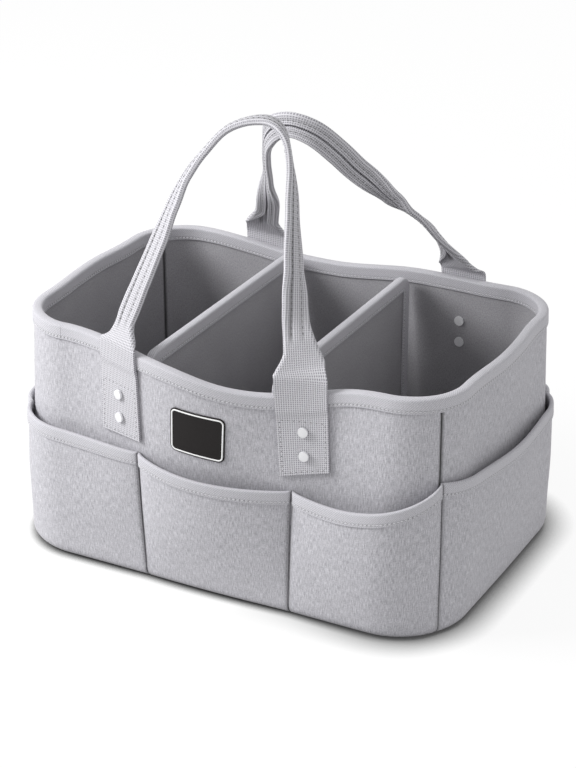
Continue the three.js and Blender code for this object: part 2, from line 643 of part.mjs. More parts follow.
for (const side of ['front', 'back']) {
  const frames = strapFrames(side);
  add(`${side}_handle`, bar(frames.length, (i) => strapSection(frames[i].folded), (i, across, up) => (
    frames[i].point.clone().addScaledVector(frames[i].width, across).addScaledVector(frames[i].outer, up))),
  finish.webbing());
  const edges = feetPlaces.filter((f) => f.side === side).map((spot) => [-1, 0, 1]
    .map((k) => footPoint(spot, k * webbing.width / 2, hingeHeight[side], webbing.thickness + gap))
    .reduce((best, p) => (p.y * outSign[side] > best.y * outSign[side] ? p : best)));
  hinges[side] = edges.map((p) => p.toArray());
}

// Dividers: a padded board with a bound edge and hook tape on the edges that meet the lining
function dividerEdges(x) {
  const heights = dividerLevelShares.map((share) => mix(floorTop + gap, divider.top, share));
  const inner = (side, z) => Math.min(...[-1, 1].map((k) => {
    const place = placeOfX(side, x + k * divider.thickness, z);
    const rimDepth = z > rimHeight(place) - 2 * binding.width ? gap + binding.thickness : 0;
    const edge = clamp01((body.edgeRadius - z) / (body.edgeRadius - wallThickness));
    return Math.abs(atHeight(place, z, -mix(wallThickness, body.edgeRadius, edge) - rimDepth).y);
  }));
  const tight = (side, z) => {
    let best = Infinity;
    for (let i = 0; i <= fitSamples; i += 1) {
      best = Math.min(best, inner(side, mix(z, body.height, i / fitSamples)));
    }
    return best - divider.wallClearance - divider.hookThickness - binding.thickness - 2 * gap;
  };
  return {
    front: heights.map((z) => [-tight('front', z), z]), back: heights.map((z) => [tight('back', z), z]),
  };
}
function dividerPath(x) {
  const { front, back } = dividerEdges(x);
  const r = divider.cornerRadius;
  const corner = (cy, sign) => dividerLevelShares.map((share) => {
    const angle = (Math.PI / 2) * share;
    return [cy + sign * r * Math.cos(angle), divider.top - r + r * Math.sin(angle)];
  });
  const drop = (list) => list.slice(0, -1);
  return [
    ...drop(front), ...corner(front[3][0] + r, -1),
    ...corner(back[3][0] - r, 1).reverse(), ...drop(back).reverse(),
  ];
}
function pathFrames(path) {
  return path.map(([y, z], i) => {
    const before = path[Math.max(0, i - 1)];
    const after = path[Math.min(path.length - 1, i + 1)];
    const d = new THREE.Vector2(after[0] - before[0], after[1] - before[1]).normalize();
    return { y, z, ny: -d.y, nz: d.x };
  });
}
for (const [name, x] of Object.entries(dividerPlaces)) {
  const path = dividerPath(x);
  const shape = new THREE.Shape(path.map(([y, z]) => new THREE.Vector2(y, z)));
  const board = new THREE.ExtrudeGeometry(shape, { depth: divider.thickness, bevelEnabled: false });
  const upright = new THREE.Matrix4().makeBasis(
    new THREE.Vector3(0, 1, 0), new THREE.Vector3(0, 0, 1), new THREE.Vector3(1, 0, 0));
  board.applyMatrix4(upright).translate(x - divider.thickness / 2, 0, 0);
  add(`${name}_panel`, board, finish.lining());
  const frames = pathFrames(path);
  const side = divider.thickness / 2;
  const place = (i, across, up) => new THREE.Vector3(
    x + across, frames[i].y + frames[i].ny * up, Math.max(frames[i].z + frames[i].nz * up, floorTop + gap));
  const section = tape(-side, side, binding.width, binding.thickness);
  add(`${name}_binding`, bar(frames.length, () => section, place), finish.binding());
  const hookLow = gap + binding.thickness + gap;
  for (const [end, list] of [['front', [0, 1, 2]], ['back', [-1, -2, -3]]]) {
    const rows = list.map((k) => (k < 0 ? frames.length + k : k));
    add(`${name}_${end}_hook_tape`, sheet(2, rows.length, (i, j, face) => (
      place(rows[j], mix(-1, 1, i) * (divider.hookWidth / 2), hookLow + face * divider.hookThickness)
    )), finish.hook());
  }
}

caddy.userData.hinges = hinges;
export default caddy;
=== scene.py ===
import bpy
import math
import numpy as np
from mathutils import Matrix, Vector


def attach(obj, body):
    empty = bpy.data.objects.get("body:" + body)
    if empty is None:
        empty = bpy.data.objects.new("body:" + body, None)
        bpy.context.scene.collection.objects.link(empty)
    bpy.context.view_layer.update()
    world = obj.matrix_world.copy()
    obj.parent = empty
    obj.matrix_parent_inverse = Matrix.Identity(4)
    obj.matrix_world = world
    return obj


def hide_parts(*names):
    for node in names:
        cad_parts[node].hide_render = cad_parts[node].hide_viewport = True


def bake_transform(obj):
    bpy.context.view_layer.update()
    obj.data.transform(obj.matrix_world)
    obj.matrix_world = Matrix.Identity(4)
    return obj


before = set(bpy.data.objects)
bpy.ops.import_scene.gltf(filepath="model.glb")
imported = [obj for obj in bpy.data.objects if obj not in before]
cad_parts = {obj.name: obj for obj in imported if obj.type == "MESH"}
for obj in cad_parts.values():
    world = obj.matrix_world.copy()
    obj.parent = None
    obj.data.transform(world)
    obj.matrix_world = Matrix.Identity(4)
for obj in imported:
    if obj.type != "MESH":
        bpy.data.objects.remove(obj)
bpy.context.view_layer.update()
print("frame loaded:", len(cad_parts), "nodes")

mm = 0.001
gap = 0.3  # clearance between layers, as in the solids; all sizes below are millimetres


# Small helpers

def mix(a, b, t):
    return a + (b - a) * t


def smooth(t):
    t = np.clip(t, 0, 1)
    return t * t * (3 - 2 * t)


def swell(at, centre, reach):
    return np.cos(np.pi / 2 * np.clip(np.abs(at - centre) / reach, 0, 1)) ** 2


def bump(at, centre, width):
    return np.exp(-((at - centre) / width) ** 2)


def unitVectors(vectors):
    return vectors / np.linalg.norm(vectors, axis=-1, keepdims=True)


def runAlong(points):
    # how far each point of a line is from its start
    return np.concatenate([[0], np.cumsum(np.linalg.norm(np.diff(points, axis=0), axis=1))])


def onLine(at, travelled, line):
    return np.stack([np.interp(at, travelled, column) for column in np.transpose(line)], -1)


def ripple(a, b, length):
    # soft uneven hand of cloth, from a few crossing waves
    k = 2 * np.pi / length
    return (np.sin(k * a + 0.7) * np.sin(0.83 * k * b + 1.9)
            + 0.6 * np.sin(0.61 * k * a - 1.3 * k * b + 4.1)
            + 0.5 * np.sin(1.37 * k * a + 0.45 * k * b + 2.6)) / 2.1


# The wall surface. A place round the caddy runs from 0 to 8: even counts start the front, right,
# back and left sides, odd counts start the corners between them.

wall = {
    "length": 373, "depth": 258, "cornerRadius": 56,
    "rimLength": 365, "rimDepth": 229, "rimCornerRadius": 46, "height": 190,
    "edgeRadius": 9,
    "frontBow": 31, "frontBowCentre": -12, "frontBowReach": 124,
    "backBow": 2, "backBowReach": 120, "endBow": 4, "endBowReach": 66,
    "frontDip": 12, "frontDipCentre": 45, "frontDipReach": 91,
    "backDip": 9, "backDipCentre": -30, "backDipReach": 104,
    "cloth": 1.2, "board": 2.4, "lining": 1.0,
    "cornerSeamShare": 0.58, "seamLean": 0.047, "seamLeanWidth": 0.35,
}
wallThickness = wall["cloth"] + wall["board"] + wall["lining"] + 2 * gap


def wallPlan(place, z):
    place, z = np.broadcast_arrays(np.asarray(place, float), np.asarray(z, float))
    rise = z / wall["height"]
    a = mix(wall["length"], wall["rimLength"], rise) / 2
    b = mix(wall["depth"], wall["rimDepth"], rise) / 2
    r = mix(wall["cornerRadius"], wall["rimCornerRadius"], rise)
    straightX = wall["rimLength"] / 2 - wall["rimCornerRadius"]
    straightY = wall["rimDepth"] / 2 - wall["rimCornerRadius"]
    turn = np.mod(place, 8)
    lean = 0 * turn
    for corner, way in ((1, 1), (4, -1), (5, 1), (8, -1)):
        lean = lean + way * bump(turn, corner + way * wall["cornerSeamShare"], wall["seamLeanWidth"])
    turn = np.mod(turn + lean * wall["seamLean"] * (1 - rise), 8)
    side = np.floor(turn)
    f = turn - side
    along = 2 * f - 1
    angle = np.pi / 2 * ((side - 1) / 2 + f - 1)
    x = np.where((side == 1) | (side == 3), 1, -1) * (a - r) + r * np.cos(angle)
    y = np.where((side == 3) | (side == 5), 1, -1) * (b - r) + r * np.sin(angle)
    frontBow = rise * wall["frontBow"] * swell(along * straightX, wall["frontBowCentre"],
                                               wall["frontBowReach"])
    backBow = rise * wall["backBow"] * swell(along * straightX, 0, wall["backBowReach"])
    endBow = rise * wall["endBow"] * swell(along * straightY, 0, wall["endBowReach"])
    straights = [side == k for k in (0, 4, 2, 6)]
    x = np.select(straights, [along * (a - r), -along * (a - r), a + endBow, -a - endBow], x)
    y = np.select(straights, [-b - frontBow, b + backBow, along * (b - r), -along * (b - r)], y)
    return x, y


def wallOutward(place, z):
    nudge = 0.004
    x0, y0 = wallPlan(place - nudge, z)
    x1, y1 = wallPlan(place + nudge, z)
    return unitVectors(np.stack([y1 - y0, x0 - x1, 0 * x0], -1))


def rimHeight(place):
    turn = np.mod(np.asarray(place, float), 8)
    x = wallPlan(turn, wall["height"])[0]
    front = (turn < 1) * wall["frontDip"] * swell(x, wall["frontDipCentre"], wall["frontDipReach"])
    back = (turn >= 4) * (turn < 5) * wall["backDip"]
    return wall["height"] - front - back * swell(x, wall["backDipCentre"], wall["backDipReach"])


def atHeight(place, z, out):
    x, y = wallPlan(place, z)
    return np.stack([x, y, z + 0 * x], -1) + wallOutward(place, z) * np.asarray(out)[..., None]


def onWall(place, level, out, top):
    # a level below zero is an angle down the rounded bottom edge
    r = wall["edgeRadius"]
    under = level < 0
    point = atHeight(place, np.where(under, r, mix(r, top, level)),
                     np.where(under, (r + out) * np.cos(level) - r, out))
    point[..., 2] = np.where(under, r + (r + out) * np.sin(level), point[..., 2])
    return point


def placeOfX(side, x, z):
    # the straight part of a side is this long at the base and at the rim
    base = wall["length"] - 2 * wall["cornerRadius"]
    rim = wall["rimLength"] - 2 * wall["rimCornerRadius"]
    share = x / mix(base, rim, z / wall["height"]) + 0.5
    return share if side == "front" else 5 - share


def evenPlaces(start, end, z=None):
    # places and their shares of the length between start and end
    places = np.linspace(start, end, 400)
    travelled = runAlong(atHeight(places, wall["edgeRadius"] if z is None else z, 0))
    return places, travelled / travelled[-1], travelled[-1]


# Mesh helpers

seamMerge = 0.02  # where a ring of cloth closes
threadSunk = 0.1  # how deep a thread lies in its cloth


def deselect():
    if bpy.context.object and bpy.context.object.mode != "OBJECT":
        bpy.ops.object.mode_set(mode="OBJECT")
    bpy.ops.object.select_all(action="DESELECT")


def makeActive(piece):
    deselect()
    piece.select_set(True)
    bpy.context.view_layer.objects.active = piece


def applyModifier(piece, kind, **settings):
    makeActive(piece)
    bpy.ops.object.modifier_add(type=kind)
    modifier = piece.modifiers[-1]
    for key, value in settings.items():
        setattr(modifier, key, value)
    bpy.ops.object.modifier_apply(modifier=modifier.name)


def editAll(piece, operator, **settings):
    makeActive(piece)
    bpy.ops.object.mode_set(mode="EDIT")
    bpy.ops.mesh.select_all(action="SELECT")
    operator(**settings)
    bpy.ops.object.mode_set(mode="OBJECT")


def smoothUpTo(piece, degrees):
    makeActive(piece)
    bpy.ops.object.shade_smooth_by_angle(angle=math.radians(degrees))


def addObject(name, data):
    piece = bpy.data.objects.new(name, data)
    bpy.context.scene.collection.objects.link(piece)
    return piece


def sewGrid(name, columns, rows, shape, ring=False):
    # a flat grid is laid on shape(u, v), which gives points and how much painted shade each point has;
    # the map is then measured along the cloth, in metres
    deselect()
    bpy.ops.mesh.primitive_grid_add(x_subdivisions=columns, y_subdivisions=rows, size=2)
    piece = bpy.context.active_object
    piece.name = name
    mesh = piece.data
    mesh.name = name
    corners = np.zeros(len(mesh.vertices) * 3)
    mesh.vertices.foreach_get("co", corners)
    u, v = (corners.reshape(-1, 3)[:, :2].T + 1) / 2
    points, shade = shape(u, v)
    order = np.lexsort((np.round(u, 5), np.round(v, 5)))
    wide = len(np.unique(np.round(u, 5)))
    lattice = points[order].reshape(-1, wide, 3)
    run, climb = runAlong(lattice[len(lattice) // 2]), runAlong(lattice[:, wide // 2])
    weave = np.zeros((len(points), 2))
    weave[order] = np.stack(np.meshgrid(run, climb), -1).reshape(-1, 2)
    mesh.vertices.foreach_set("co", (points * mm).ravel())
    loops = np.zeros(len(mesh.loops), int)
    mesh.loops.foreach_get("vertex_index", loops)
    mesh.uv_layers.active.name = "UVMap"
    mesh.uv_layers.active.data.foreach_set("uv", (weave[loops] * mm).ravel())
    mesh.attributes.new("shade", "FLOAT", "POINT").data.foreach_set("value", shade + 0 * u)
    mesh.update()
    piece["flat"] = [float(run[-1]) * mm, float(climb[-1]) * mm]
    a, b, c = lattice[:-1, :-1], lattice[1:, :-1], lattice[:-1, 1:]
    piece["area"] = float(np.linalg.norm(np.cross(b - a, c - a), axis=2).sum()) * mm * mm
    if ring:
        editAll(piece, bpy.ops.mesh.remove_doubles, threshold=seamMerge * mm)
    return piece


def thicken(piece, thickness, offset=-1, edge=0.3, even=True):
    applyModifier(piece, "SOLIDIFY", thickness=thickness * mm, offset=offset, use_even_offset=even)
    if edge:
        applyModifier(piece, "BEVEL", width=edge * mm, segments=2, limit_method="ANGLE",
                      angle_limit=math.radians(60), harden_normals=False)
    smoothUpTo(piece, 50)


def makeSheet(name, grid, shape, thickness, dressing, ring=False):
    piece = sewGrid(name, *grid, shape, ring)
    thicken(piece, thickness)
    dress(piece, *dressing)
    return piece


def dress(piece, material, slot, body="root", nodes=()):
    piece.data.materials.clear()
    piece.data.materials.append(material)
    if body:
        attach(piece, body)
    if nodes:
        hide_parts(*nodes)
    return piece


tapeStitch = {"length": 2.3, "thickness": 0.62, "pitch": 3.1}
strapStitch = {"length": 2.1, "thickness": 0.62, "pitch": 4.4}
footStitch = {"length": 1.3, "thickness": 0.66, "pitch": 3.9}
seamStitch = {"length": 1.4, "thickness": 0.5, "pitch": 2.6}
threadSides, threadRings = 6, 4


def stitchCount(length, pitch=tapeStitch["pitch"]):
    return max(1, int(length / pitch))


def stitches(name, rows, material, slot, body="root", size=tapeStitch):
    # one short thread is modelled and repeated along every row of (points, normals)
    deselect()
    bpy.ops.mesh.primitive_uv_sphere_add(segments=threadSides, ring_count=threadRings, radius=1)
    thread = bpy.context.active_object
    half = size["thickness"] / 2
    editAll(thread, bpy.ops.transform.resize, value=(half, half, size["length"] / 2))
    corners = np.array([corner.co for corner in thread.data.vertices])
    faces = [list(face.vertices) for face in thread.data.polygons]
    bpy.data.objects.remove(thread)
    allPoints, allFaces = [], []
    for points, normals in rows:
        travelled = runAlong(points)
        count = stitchCount(travelled[-1], size["pitch"])
        for here in (np.arange(count) + 0.5) * travelled[-1] / count:
            first, last = onLine(here + np.array([-0.5, 0.5]) * size["length"], travelled, points)
            way = unitVectors(last - first)
            normal = onLine(here, travelled, normals)
            normal = unitVectors(normal - way * normal.dot(way))
            turned = corners @ np.array([np.cross(normal, way), normal, way])
            base = len(allPoints) * len(corners)
            allPoints.append((first + last) / 2 + turned)
            allFaces += [[base + k for k in face] for face in faces]
    mesh = bpy.data.meshes.new(name)
    mesh.from_pydata(np.concatenate(allPoints) * mm, [], allFaces)
    piece = addObject(name, mesh)
    editAll(piece, bpy.ops.mesh.normals_make_consistent, inside=False)
    bpy.ops.object.shade_smooth()
    return dress(piece, material, slot, body)


# Materials

def feed(node, inputs):
    # links or sets inputs that are given by name or number
    for key, value in inputs.items():
        if isinstance(value, bpy.types.NodeSocket):
            node.id_data.links.new(value, node.inputs[key])
        else:
            node.inputs[key].default_value = value
    return node


def adder(tree):
    def add(kind, inputs=(), **settings):
        node = tree.nodes.new("ShaderNode" + kind)
        for key, value in settings.items():
            setattr(node, key, value)
        return feed(node, dict(inputs)).outputs

    return add


def startMaterial(name):
    material = bpy.data.materials.new(name)
    material.use_nodes = True
    return material, material.node_tree.nodes["Principled BSDF"], adder(material.node_tree)


def stretched(add, source, x, y, turn=0.0):
    # coordinates in counts per millimetre along and up the cloth
    return add("Mapping", {"Vector": source, "Scale": (x / mm, y / mm, 1 / mm),
                           "Rotation": (0, 0, turn)})[0]


def spread(add, value, low, high, least=0.0, most=1.0):
    return add("MapRange", {0: value, 1: low, 2: high, 3: least, 4: most})[0]


def blendOf(add, share, a, b):
    return add("Mix", {0: share, 6: a, 7: b}, data_type="RGBA")[2]


def weighted(add, *parts):
    # the sum of some values, each times its share
    total = 0.0
    for value, share in parts:
        total = add("Math", {0: value, 1: share, 2: total}, operation="MULTIPLY_ADD")[0]
    return total


def waves(add, source, pitch, direction):
    # bands whose pitch is in millimetres
    return add("TexWave", {"Vector": source, "Scale": 2 * math.pi / 20 / pitch}, wave_type="BANDS",
               bands_direction=direction, wave_profile="SIN")["Fac"]


def noise(add, source, x, y, detail, roughness=0.5):
    return add("TexNoise", {"Vector": stretched(add, source, x, y), "Scale": 1.0, "Detail": detail,
                            "Roughness": roughness})["Fac"]


def finish(add, shader, look, colour, height, roughness):
    relief = add("Bump", {"Height": height, "Strength": look["relief"],
                          "Distance": look["reliefDepth"] * mm})[0]
    feed(shader, {"Base Color": colour, "Normal": relief, "Roughness": roughness,
                  "Specular IOR Level": look["specular"]})


# Each weave gives its tone, from dark to light, and its height

def melange(add, uv, look):
    # short upright slubs and fine flecks over a plain weave
    slub = noise(add, uv, look["slubAcross"], look["slubUp"], 3.0, 0.7)
    fleck = noise(add, uv, look["fleckAcross"], look["fleckUp"], 1.0)
    cross = noise(add, uv, look["slubUp"] * 1.6, look["slubAcross"], 1.0)
    tone = weighted(add, (spread(add, slub, 0.36, 0.64), look["slubShare"]),
                    (spread(add, fleck, 0.34, 0.66), look["fleckShare"]),
                    (spread(add, cross, 0.36, 0.64), 1 - look["slubShare"] - look["fleckShare"]))
    cloud = spread(add, noise(add, uv, look["cloud"], look["cloud"], 2.0), 0.35, 0.65,
                   1.0, 1 - look["cloudShare"])
    cloth = stretched(add, uv, 1, 1)
    warp, weft = (waves(add, cloth, look["thread"], way) for way in "XY")
    plain = add("Math", {0: warp, 1: weft}, operation="MAXIMUM")[0]
    return weighted(add, (tone, cloud)), weighted(add, (plain, 0.5), (tone, 1.0))


def twill(add, uv, look):
    lines = waves(add, stretched(add, uv, 1, 1, look["slant"]), look["twill"], "X")
    fibre = noise(add, uv, 1.1, 2.2, 3.0)
    tone = weighted(add, (lines, look["twillShare"]),
                    (spread(add, fibre, 0.3, 0.7), 1 - look["twillShare"]))
    return tone, weighted(add, (lines, 1.0), (fibre, 0.5))


def ribbed(add, uv, look):
    cloth = stretched(add, uv, 1, 1)
    ribs = spread(add, waves(add, cloth, look["acrossPitch"], "X"), 0.3, 0.9)
    picks = spread(add, waves(add, cloth, look["alongPitch"], "Y"), 0.3, 0.9, 0.0, look["pickShare"])
    cell = add("Math", {0: ribs, 1: picks}, operation="MAXIMUM")[0]
    fibre = spread(add, noise(add, uv, 1.3, 1.3, 3.0), 0.3, 0.7)
    return weighted(add, (cell, look["cellShare"]), (fibre, 1 - look["cellShare"])), cell


def fibreMaterial(name, weave, look):
    material, shader, add = startMaterial(name)
    tone, height = weave(add, add("UVMap", uv_map="UVMap")[0], look)
    colour = blendOf(add, tone, look["dark"], look["light"])
    # the shade attribute blends the colour towards a painted shade colour: painted shade in seams,
    # stitch dimples and grooves
    shade = add("Attribute", attribute_name="shade")["Fac"]
    finish(add, shader, look, blendOf(add, shade, colour, look["deep"]), height, look["roughness"])
    shader.inputs["Sheen Weight"].default_value = look["sheen"]
    return material


solidLook = {"grain": 2.0, "roughness": 0.8, "relief": 0.2, "reliefDepth": 0.05, "metallic": 0.0,
             "specular": 0.3}


def solidMaterial(name, dark, light, **changes):
    # thread and moulded and metal finishes: fine grain on Object coordinates
    look = {**solidLook, **changes}
    material, shader, add = startMaterial(name)
    grain = add("TexNoise", {"Vector": add("TexCoord")["Object"], "Scale": look["grain"] / mm,
                             "Detail": 3.0})["Fac"]
    colour = blendOf(add, spread(add, grain, 0.3, 0.7), dark, light)
    rough = spread(add, grain, 0.0, 1.0, look["roughness"] * 0.85, look["roughness"] * 1.15)
    finish(add, shader, look, colour, grain, rough)
    shader.inputs["Metallic"].default_value = look["metallic"]
    return material


def grey(value, warm=0.0, cool=0.0):
    return (value + warm, value, value + cool, 1)


outerCloth = fibreMaterial("greyMelangeCloth", melange, {
    "dark": grey(0.27, 0.006, 0.026), "light": grey(0.65, 0.006, 0.036), "deep": grey(0.07),
    "slubAcross": 1.4, "slubUp": 0.17, "fleckAcross": 1.5, "fleckUp": 1.0,
    "slubShare": 0.6, "fleckShare": 0.24, "cloud": 0.03, "cloudShare": 0.04, "thread": 0.75,
    "relief": 0.5, "reliefDepth": 0.25, "roughness": 0.92, "specular": 0.25, "sheen": 0.1,
})
liningCloth = fibreMaterial("greyLiningCloth", melange, {
    "dark": grey(0.22, 0.006, 0.016), "light": grey(0.45, 0.006, 0.022), "deep": grey(0.04),
    "slubAcross": 1.3, "slubUp": 0.5, "fleckAcross": 1.6, "fleckUp": 1.4,
    "slubShare": 0.36, "fleckShare": 0.4, "cloud": 0.03, "cloudShare": 0.2, "thread": 0.7,
    "relief": 0.35, "reliefDepth": 0.22, "roughness": 0.94, "specular": 0.25, "sheen": 0.12,
})
bindingTape = fibreMaterial("twillBindingTape", twill, {
    "dark": grey(0.3, 0.006, 0.028), "light": grey(0.66, 0.006, 0.036), "deep": grey(0.06),
    "twill": 1.35, "slant": 0.75, "twillShare": 0.35,
    "relief": 0.5, "reliefDepth": 0.2, "roughness": 0.85, "specular": 0.3, "sheen": 0.12,
})
strapWebbing = fibreMaterial("ribbedWebbing", ribbed, {
    "dark": grey(0.18, 0.006, 0.026), "light": grey(0.7, 0.006, 0.034), "deep": grey(0.05),
    "acrossPitch": 1.65, "alongPitch": 1.65, "pickShare": 0.85, "cellShare": 0.7,
    "relief": 0.6, "reliefDepth": 0.36, "roughness": 0.8, "specular": 0.35, "sheen": 0.1,
})
hookTape = fibreMaterial("hookTape", ribbed, {
    "dark": grey(0.13), "light": grey(0.3), "deep": grey(0.05),
    "acrossPitch": 1.1, "alongPitch": 1.1, "pickShare": 0.9, "cellShare": 0.8,
    "relief": 0.9, "reliefDepth": 0.4, "roughness": 0.8, "specular": 0.35, "sheen": 0.1,
})
darkThread = solidMaterial("greyThread", grey(0.1), grey(0.2))
paleThread = solidMaterial("paleThread", grey(0.56, 0.0, 0.02), grey(0.74, 0.0, 0.02))
seamThread = solidMaterial("seamThread", grey(0.2, 0.0, 0.01), grey(0.3, 0.0, 0.01))
blackRubber = solidMaterial("blackRubber", grey(0.009, 0.002), grey(0.015, 0.002),
                            grain=1.6, roughness=0.6, relief=0.25, specular=0.2)
whiteRubber = solidMaterial("whiteRubber", grey(0.83), grey(0.9),
                            grain=1.6, roughness=0.45, relief=0.1, specular=0.4)
satinMetal = solidMaterial("satinMetal", grey(0.76, 0.0, 0.02), grey(0.84, 0.0, 0.02),
                           grain=3.0, roughness=0.4, relief=0.06, metallic=0.25, specular=0.5)
boardStock = solidMaterial("stiffeningBoard", grey(0.7, 0.01), grey(0.8, 0.01), grain=0.6)
for name in ("front_stiffener", "right_stiffener", "back_stiffener", "left_stiffener", "base_board"):
    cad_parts[name].data.materials.clear()
    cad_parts[name].data.materials.append(boardStock)
print("materials made")


# Camera, floor and light, at the angle of the photograph

camera = {"location": (0.76218, -1.46165, 0.90290), "azimuth": 27.6, "elevation": 25.3,
          "focalPixels": 2313.43, "imageHeight": 768, "sensor": 36.0}
bpy.context.scene.view_settings.view_transform = "Standard"
eye = bpy.data.cameras.new("camera")
eye.sensor_width = camera["sensor"]
eye.lens = camera["focalPixels"] / camera["imageHeight"] * camera["sensor"]
eyeObject = addObject("camera", eye)
eyeObject.location = camera["location"]
eyeObject.rotation_euler = (math.radians(90 - camera["elevation"]), 0, math.radians(camera["azimuth"]))
bpy.context.scene.camera = eyeObject

studio = {
    "aim": (0, 0, 0.15), "floorSize": 12, "floorTone": 0.12,
    "sky": 0.6, "floorGlow": 0.88, "floorBounce": 0.7, "rightSide": (0.02, 0.17),
    "contactReach": 0.009, "contactFades": (0.3, 0.85),
    "shadeReach": 0.026, "shadeFades": (0.42, 1.0, 0.05),
    "key": {"place": (-1.25, -0.78, 1.1), "size": 0.8, "power": 34},
    "fill": {"place": (1.9, -1.0, 1.5), "size": 1.8, "power": 3},
    "back": {"place": (0.3, 1.9, 1.6), "size": 1.6, "power": 6},
}


def softBox(name, look):
    light = bpy.data.lights.new(name, "AREA")
    light.size = look["size"]
    light.energy = look["power"]
    lamp = addObject(name, light)
    lamp.location = look["place"]
    way = Vector(studio["aim"]) - lamp.location
    lamp.rotation_euler = way.to_track_quat("-Z", "Y").to_euler()


for lampName in ("key", "fill", "back"):
    softBox(lampName, studio[lampName])
world = bpy.data.worlds.new("studio")
bpy.context.scene.world = world
world.use_nodes = True
addSky = adder(world.node_tree)
rays = addSky("LightPath")
seen = addSky("Math", {0: rays["Is Camera Ray"], 1: rays["Is Glossy Ray"]}, operation="MAXIMUM")[0]
feed(world.node_tree.nodes["Background"], {
    "Color": (1, 1, 1, 1), "Strength": spread(addSky, seen, 0.0, 1.0, studio["sky"])})

floorMaterial, floorShader, addFloor = startMaterial("paleFloor")
# a painted shadow darkens the floor's glow by ambient occlusion: a thin dark line where the caddy
# stands, and a wider soft shade on its right
contact, shaded = (
    spread(addFloor, addFloor("AmbientOcclusion", {"Distance": studio[f"{kind}Reach"]}, samples=8)["AO"],
           *studio[f"{kind}Fades"]) for kind in ("contact", "shade"))
across = addFloor("SeparateXYZ", {0: addFloor("TexCoord")["Object"]})["X"]
clear = addFloor("Mix", {0: spread(addFloor, across, *studio["rightSide"]), 2: contact, 3: shaded})[0]
# for other rays the floor glows as a painted bounce light onto the caddy
level = spread(addFloor, addFloor("LightPath")["Is Camera Ray"], 0.0, 1.0, studio["floorBounce"],
               studio["floorGlow"])
feed(floorShader, {
    "Base Color": (studio["floorTone"],) * 3 + (1,), "Roughness": 1.0, "Specular IOR Level": 0.0,
    "Emission Color": (1, 1, 1, 1), "Emission Strength": weighted(addFloor, (level, clear))})
deselect()
bpy.ops.mesh.primitive_plane_add(size=studio["floorSize"])
floorPlane = bpy.context.active_object
floorPlane.name = "floor"
floorPlane.data.materials.append(floorMaterial)
print("camera and light set")


# Walls: outer cloth and lining, sewn together from four panels that meet in the corners

seamPlaces = {
    "frontLeft": -wall["cornerSeamShare"], "frontRight": 1 + wall["cornerSeamShare"],
    "backRight": 4 - wall["cornerSeamShare"], "backLeft": 5 + wall["cornerSeamShare"],
}
seamGap = gap / 2 / (wall["rimCornerRadius"] * math.pi / 2)
panels = {
    "front": (seamPlaces["frontLeft"], seamPlaces["frontRight"]),
    "right": (seamPlaces["frontRight"], seamPlaces["backRight"]),
    "back": (seamPlaces["backRight"], seamPlaces["backLeft"]),
    "left": (seamPlaces["backLeft"], 8 + seamPlaces["frontLeft"]),
}
# calm: how fast ripples grow from the foot and fade to the top, where that is, and reach from a seam
panelLook = {
    "step": 2.6, "bottomShare": 0.06, "tuck": 1.0, "tuckWidth": 1.2, "seamShade": 0.85,
    "seamShadeWidth": 0.6, "ripple": 0.35, "rippleLength": 95, "liningRipple": 0.25,
    "liningRippleLength": 70, "floorRipple": 0.5, "floorRippleLength": 85,
    "floorCalm": 5, "baseColumns": 220, "baseRows": 40, "calm": (4, 6, 1, 12),
}
wallLayers = {False: ("cloth", "outer", outerCloth), True: ("lining", "lining", liningCloth)}


def bottomThenUp(v, share, start):
    # the lowest part of a panel turns under from the angle start, the rest goes straight up
    return np.where(v < share, start * (1 - v / share), (v - share) / (1 - share))


def calm(look, level, fromSeam):
    grow, fade, top, reach = look["calm"]
    return smooth(np.clip(level, 0, 1) * grow) * smooth((top - level) * fade) * smooth(fromSeam / reach)


def wallPanel(side, start, end, inside):
    places, shares, length = evenPlaces(start + seamGap, end - seamGap)
    look = panelLook

    def shape(u, v):
        share = 1 - u if inside else u
        place = np.interp(share, shares, places)
        level = bottomThenUp(v, look["bottomShare"], -math.pi / 2)
        fromSeam = np.minimum(share, 1 - share) * length
        tuck = look["tuck"] * bump(fromSeam, 0, look["tuckWidth"])
        along, up = share * length, level * wall["height"]
        soft = calm(look, level, fromSeam)
        if inside:
            wave = look["liningRipple"] * (ripple(along, up, look["liningRippleLength"]) - 1)
            out = tuck - wallThickness + soft * wave
        else:
            out = -tuck + look["ripple"] * soft * ripple(along + 90 * start, up, look["rippleLength"])
        # painted shade along each seam, where the cloth tucks in
        shade = look["seamShade"] * bump(fromSeam, 0, look["seamShadeWidth"])
        return onWall(place, level, out, rimHeight(place)), shade

    kind, layer, material = wallLayers[inside]
    makeSheet(f"{side}_wall_{kind}", (int(length / look["step"]), int(wall["height"] / look["step"])),
              shape, wall[kind], (material, kind, "root", [f"{layer}_{side}_panel"]))


def basePlate(name, z, thickness, faceUp):
    def shape(u, v):
        around = u * 8
        reach = 1 - v if faceUp else v
        x, y = (at * reach for at in wallPlan(around, wall["edgeRadius"]))
        points = atHeight(around, wall["edgeRadius"], -wall["edgeRadius"] - gap) * reach[:, None]
        wave = ripple(x, y, panelLook["floorRippleLength"]) - 1 if faceUp else 0
        soft = panelLook["floorRipple"] * smooth((1 - reach) * panelLook["floorCalm"])
        points[:, 2] = z + soft * wave
        return points, 0 * u

    piece = sewGrid(name, panelLook["baseColumns"], panelLook["baseRows"], shape, ring=True)
    thicken(piece, thickness, edge=0)
    return piece


for side, (start, end) in panels.items():
    wallPanel(side, start, end, False)
    wallPanel(side, start, end, True)
dress(basePlate("base_cloth", 0, wall["cloth"], False), outerCloth, "cloth", nodes=["outer_base"])
dress(basePlate("floor_lining", wallThickness, wall["lining"], True), liningCloth, "lining",
      nodes=["lining_floor"])
print("walls, lining and base sewn")


# Bound edges: a tape folded over an edge and sewn through near its lower edge

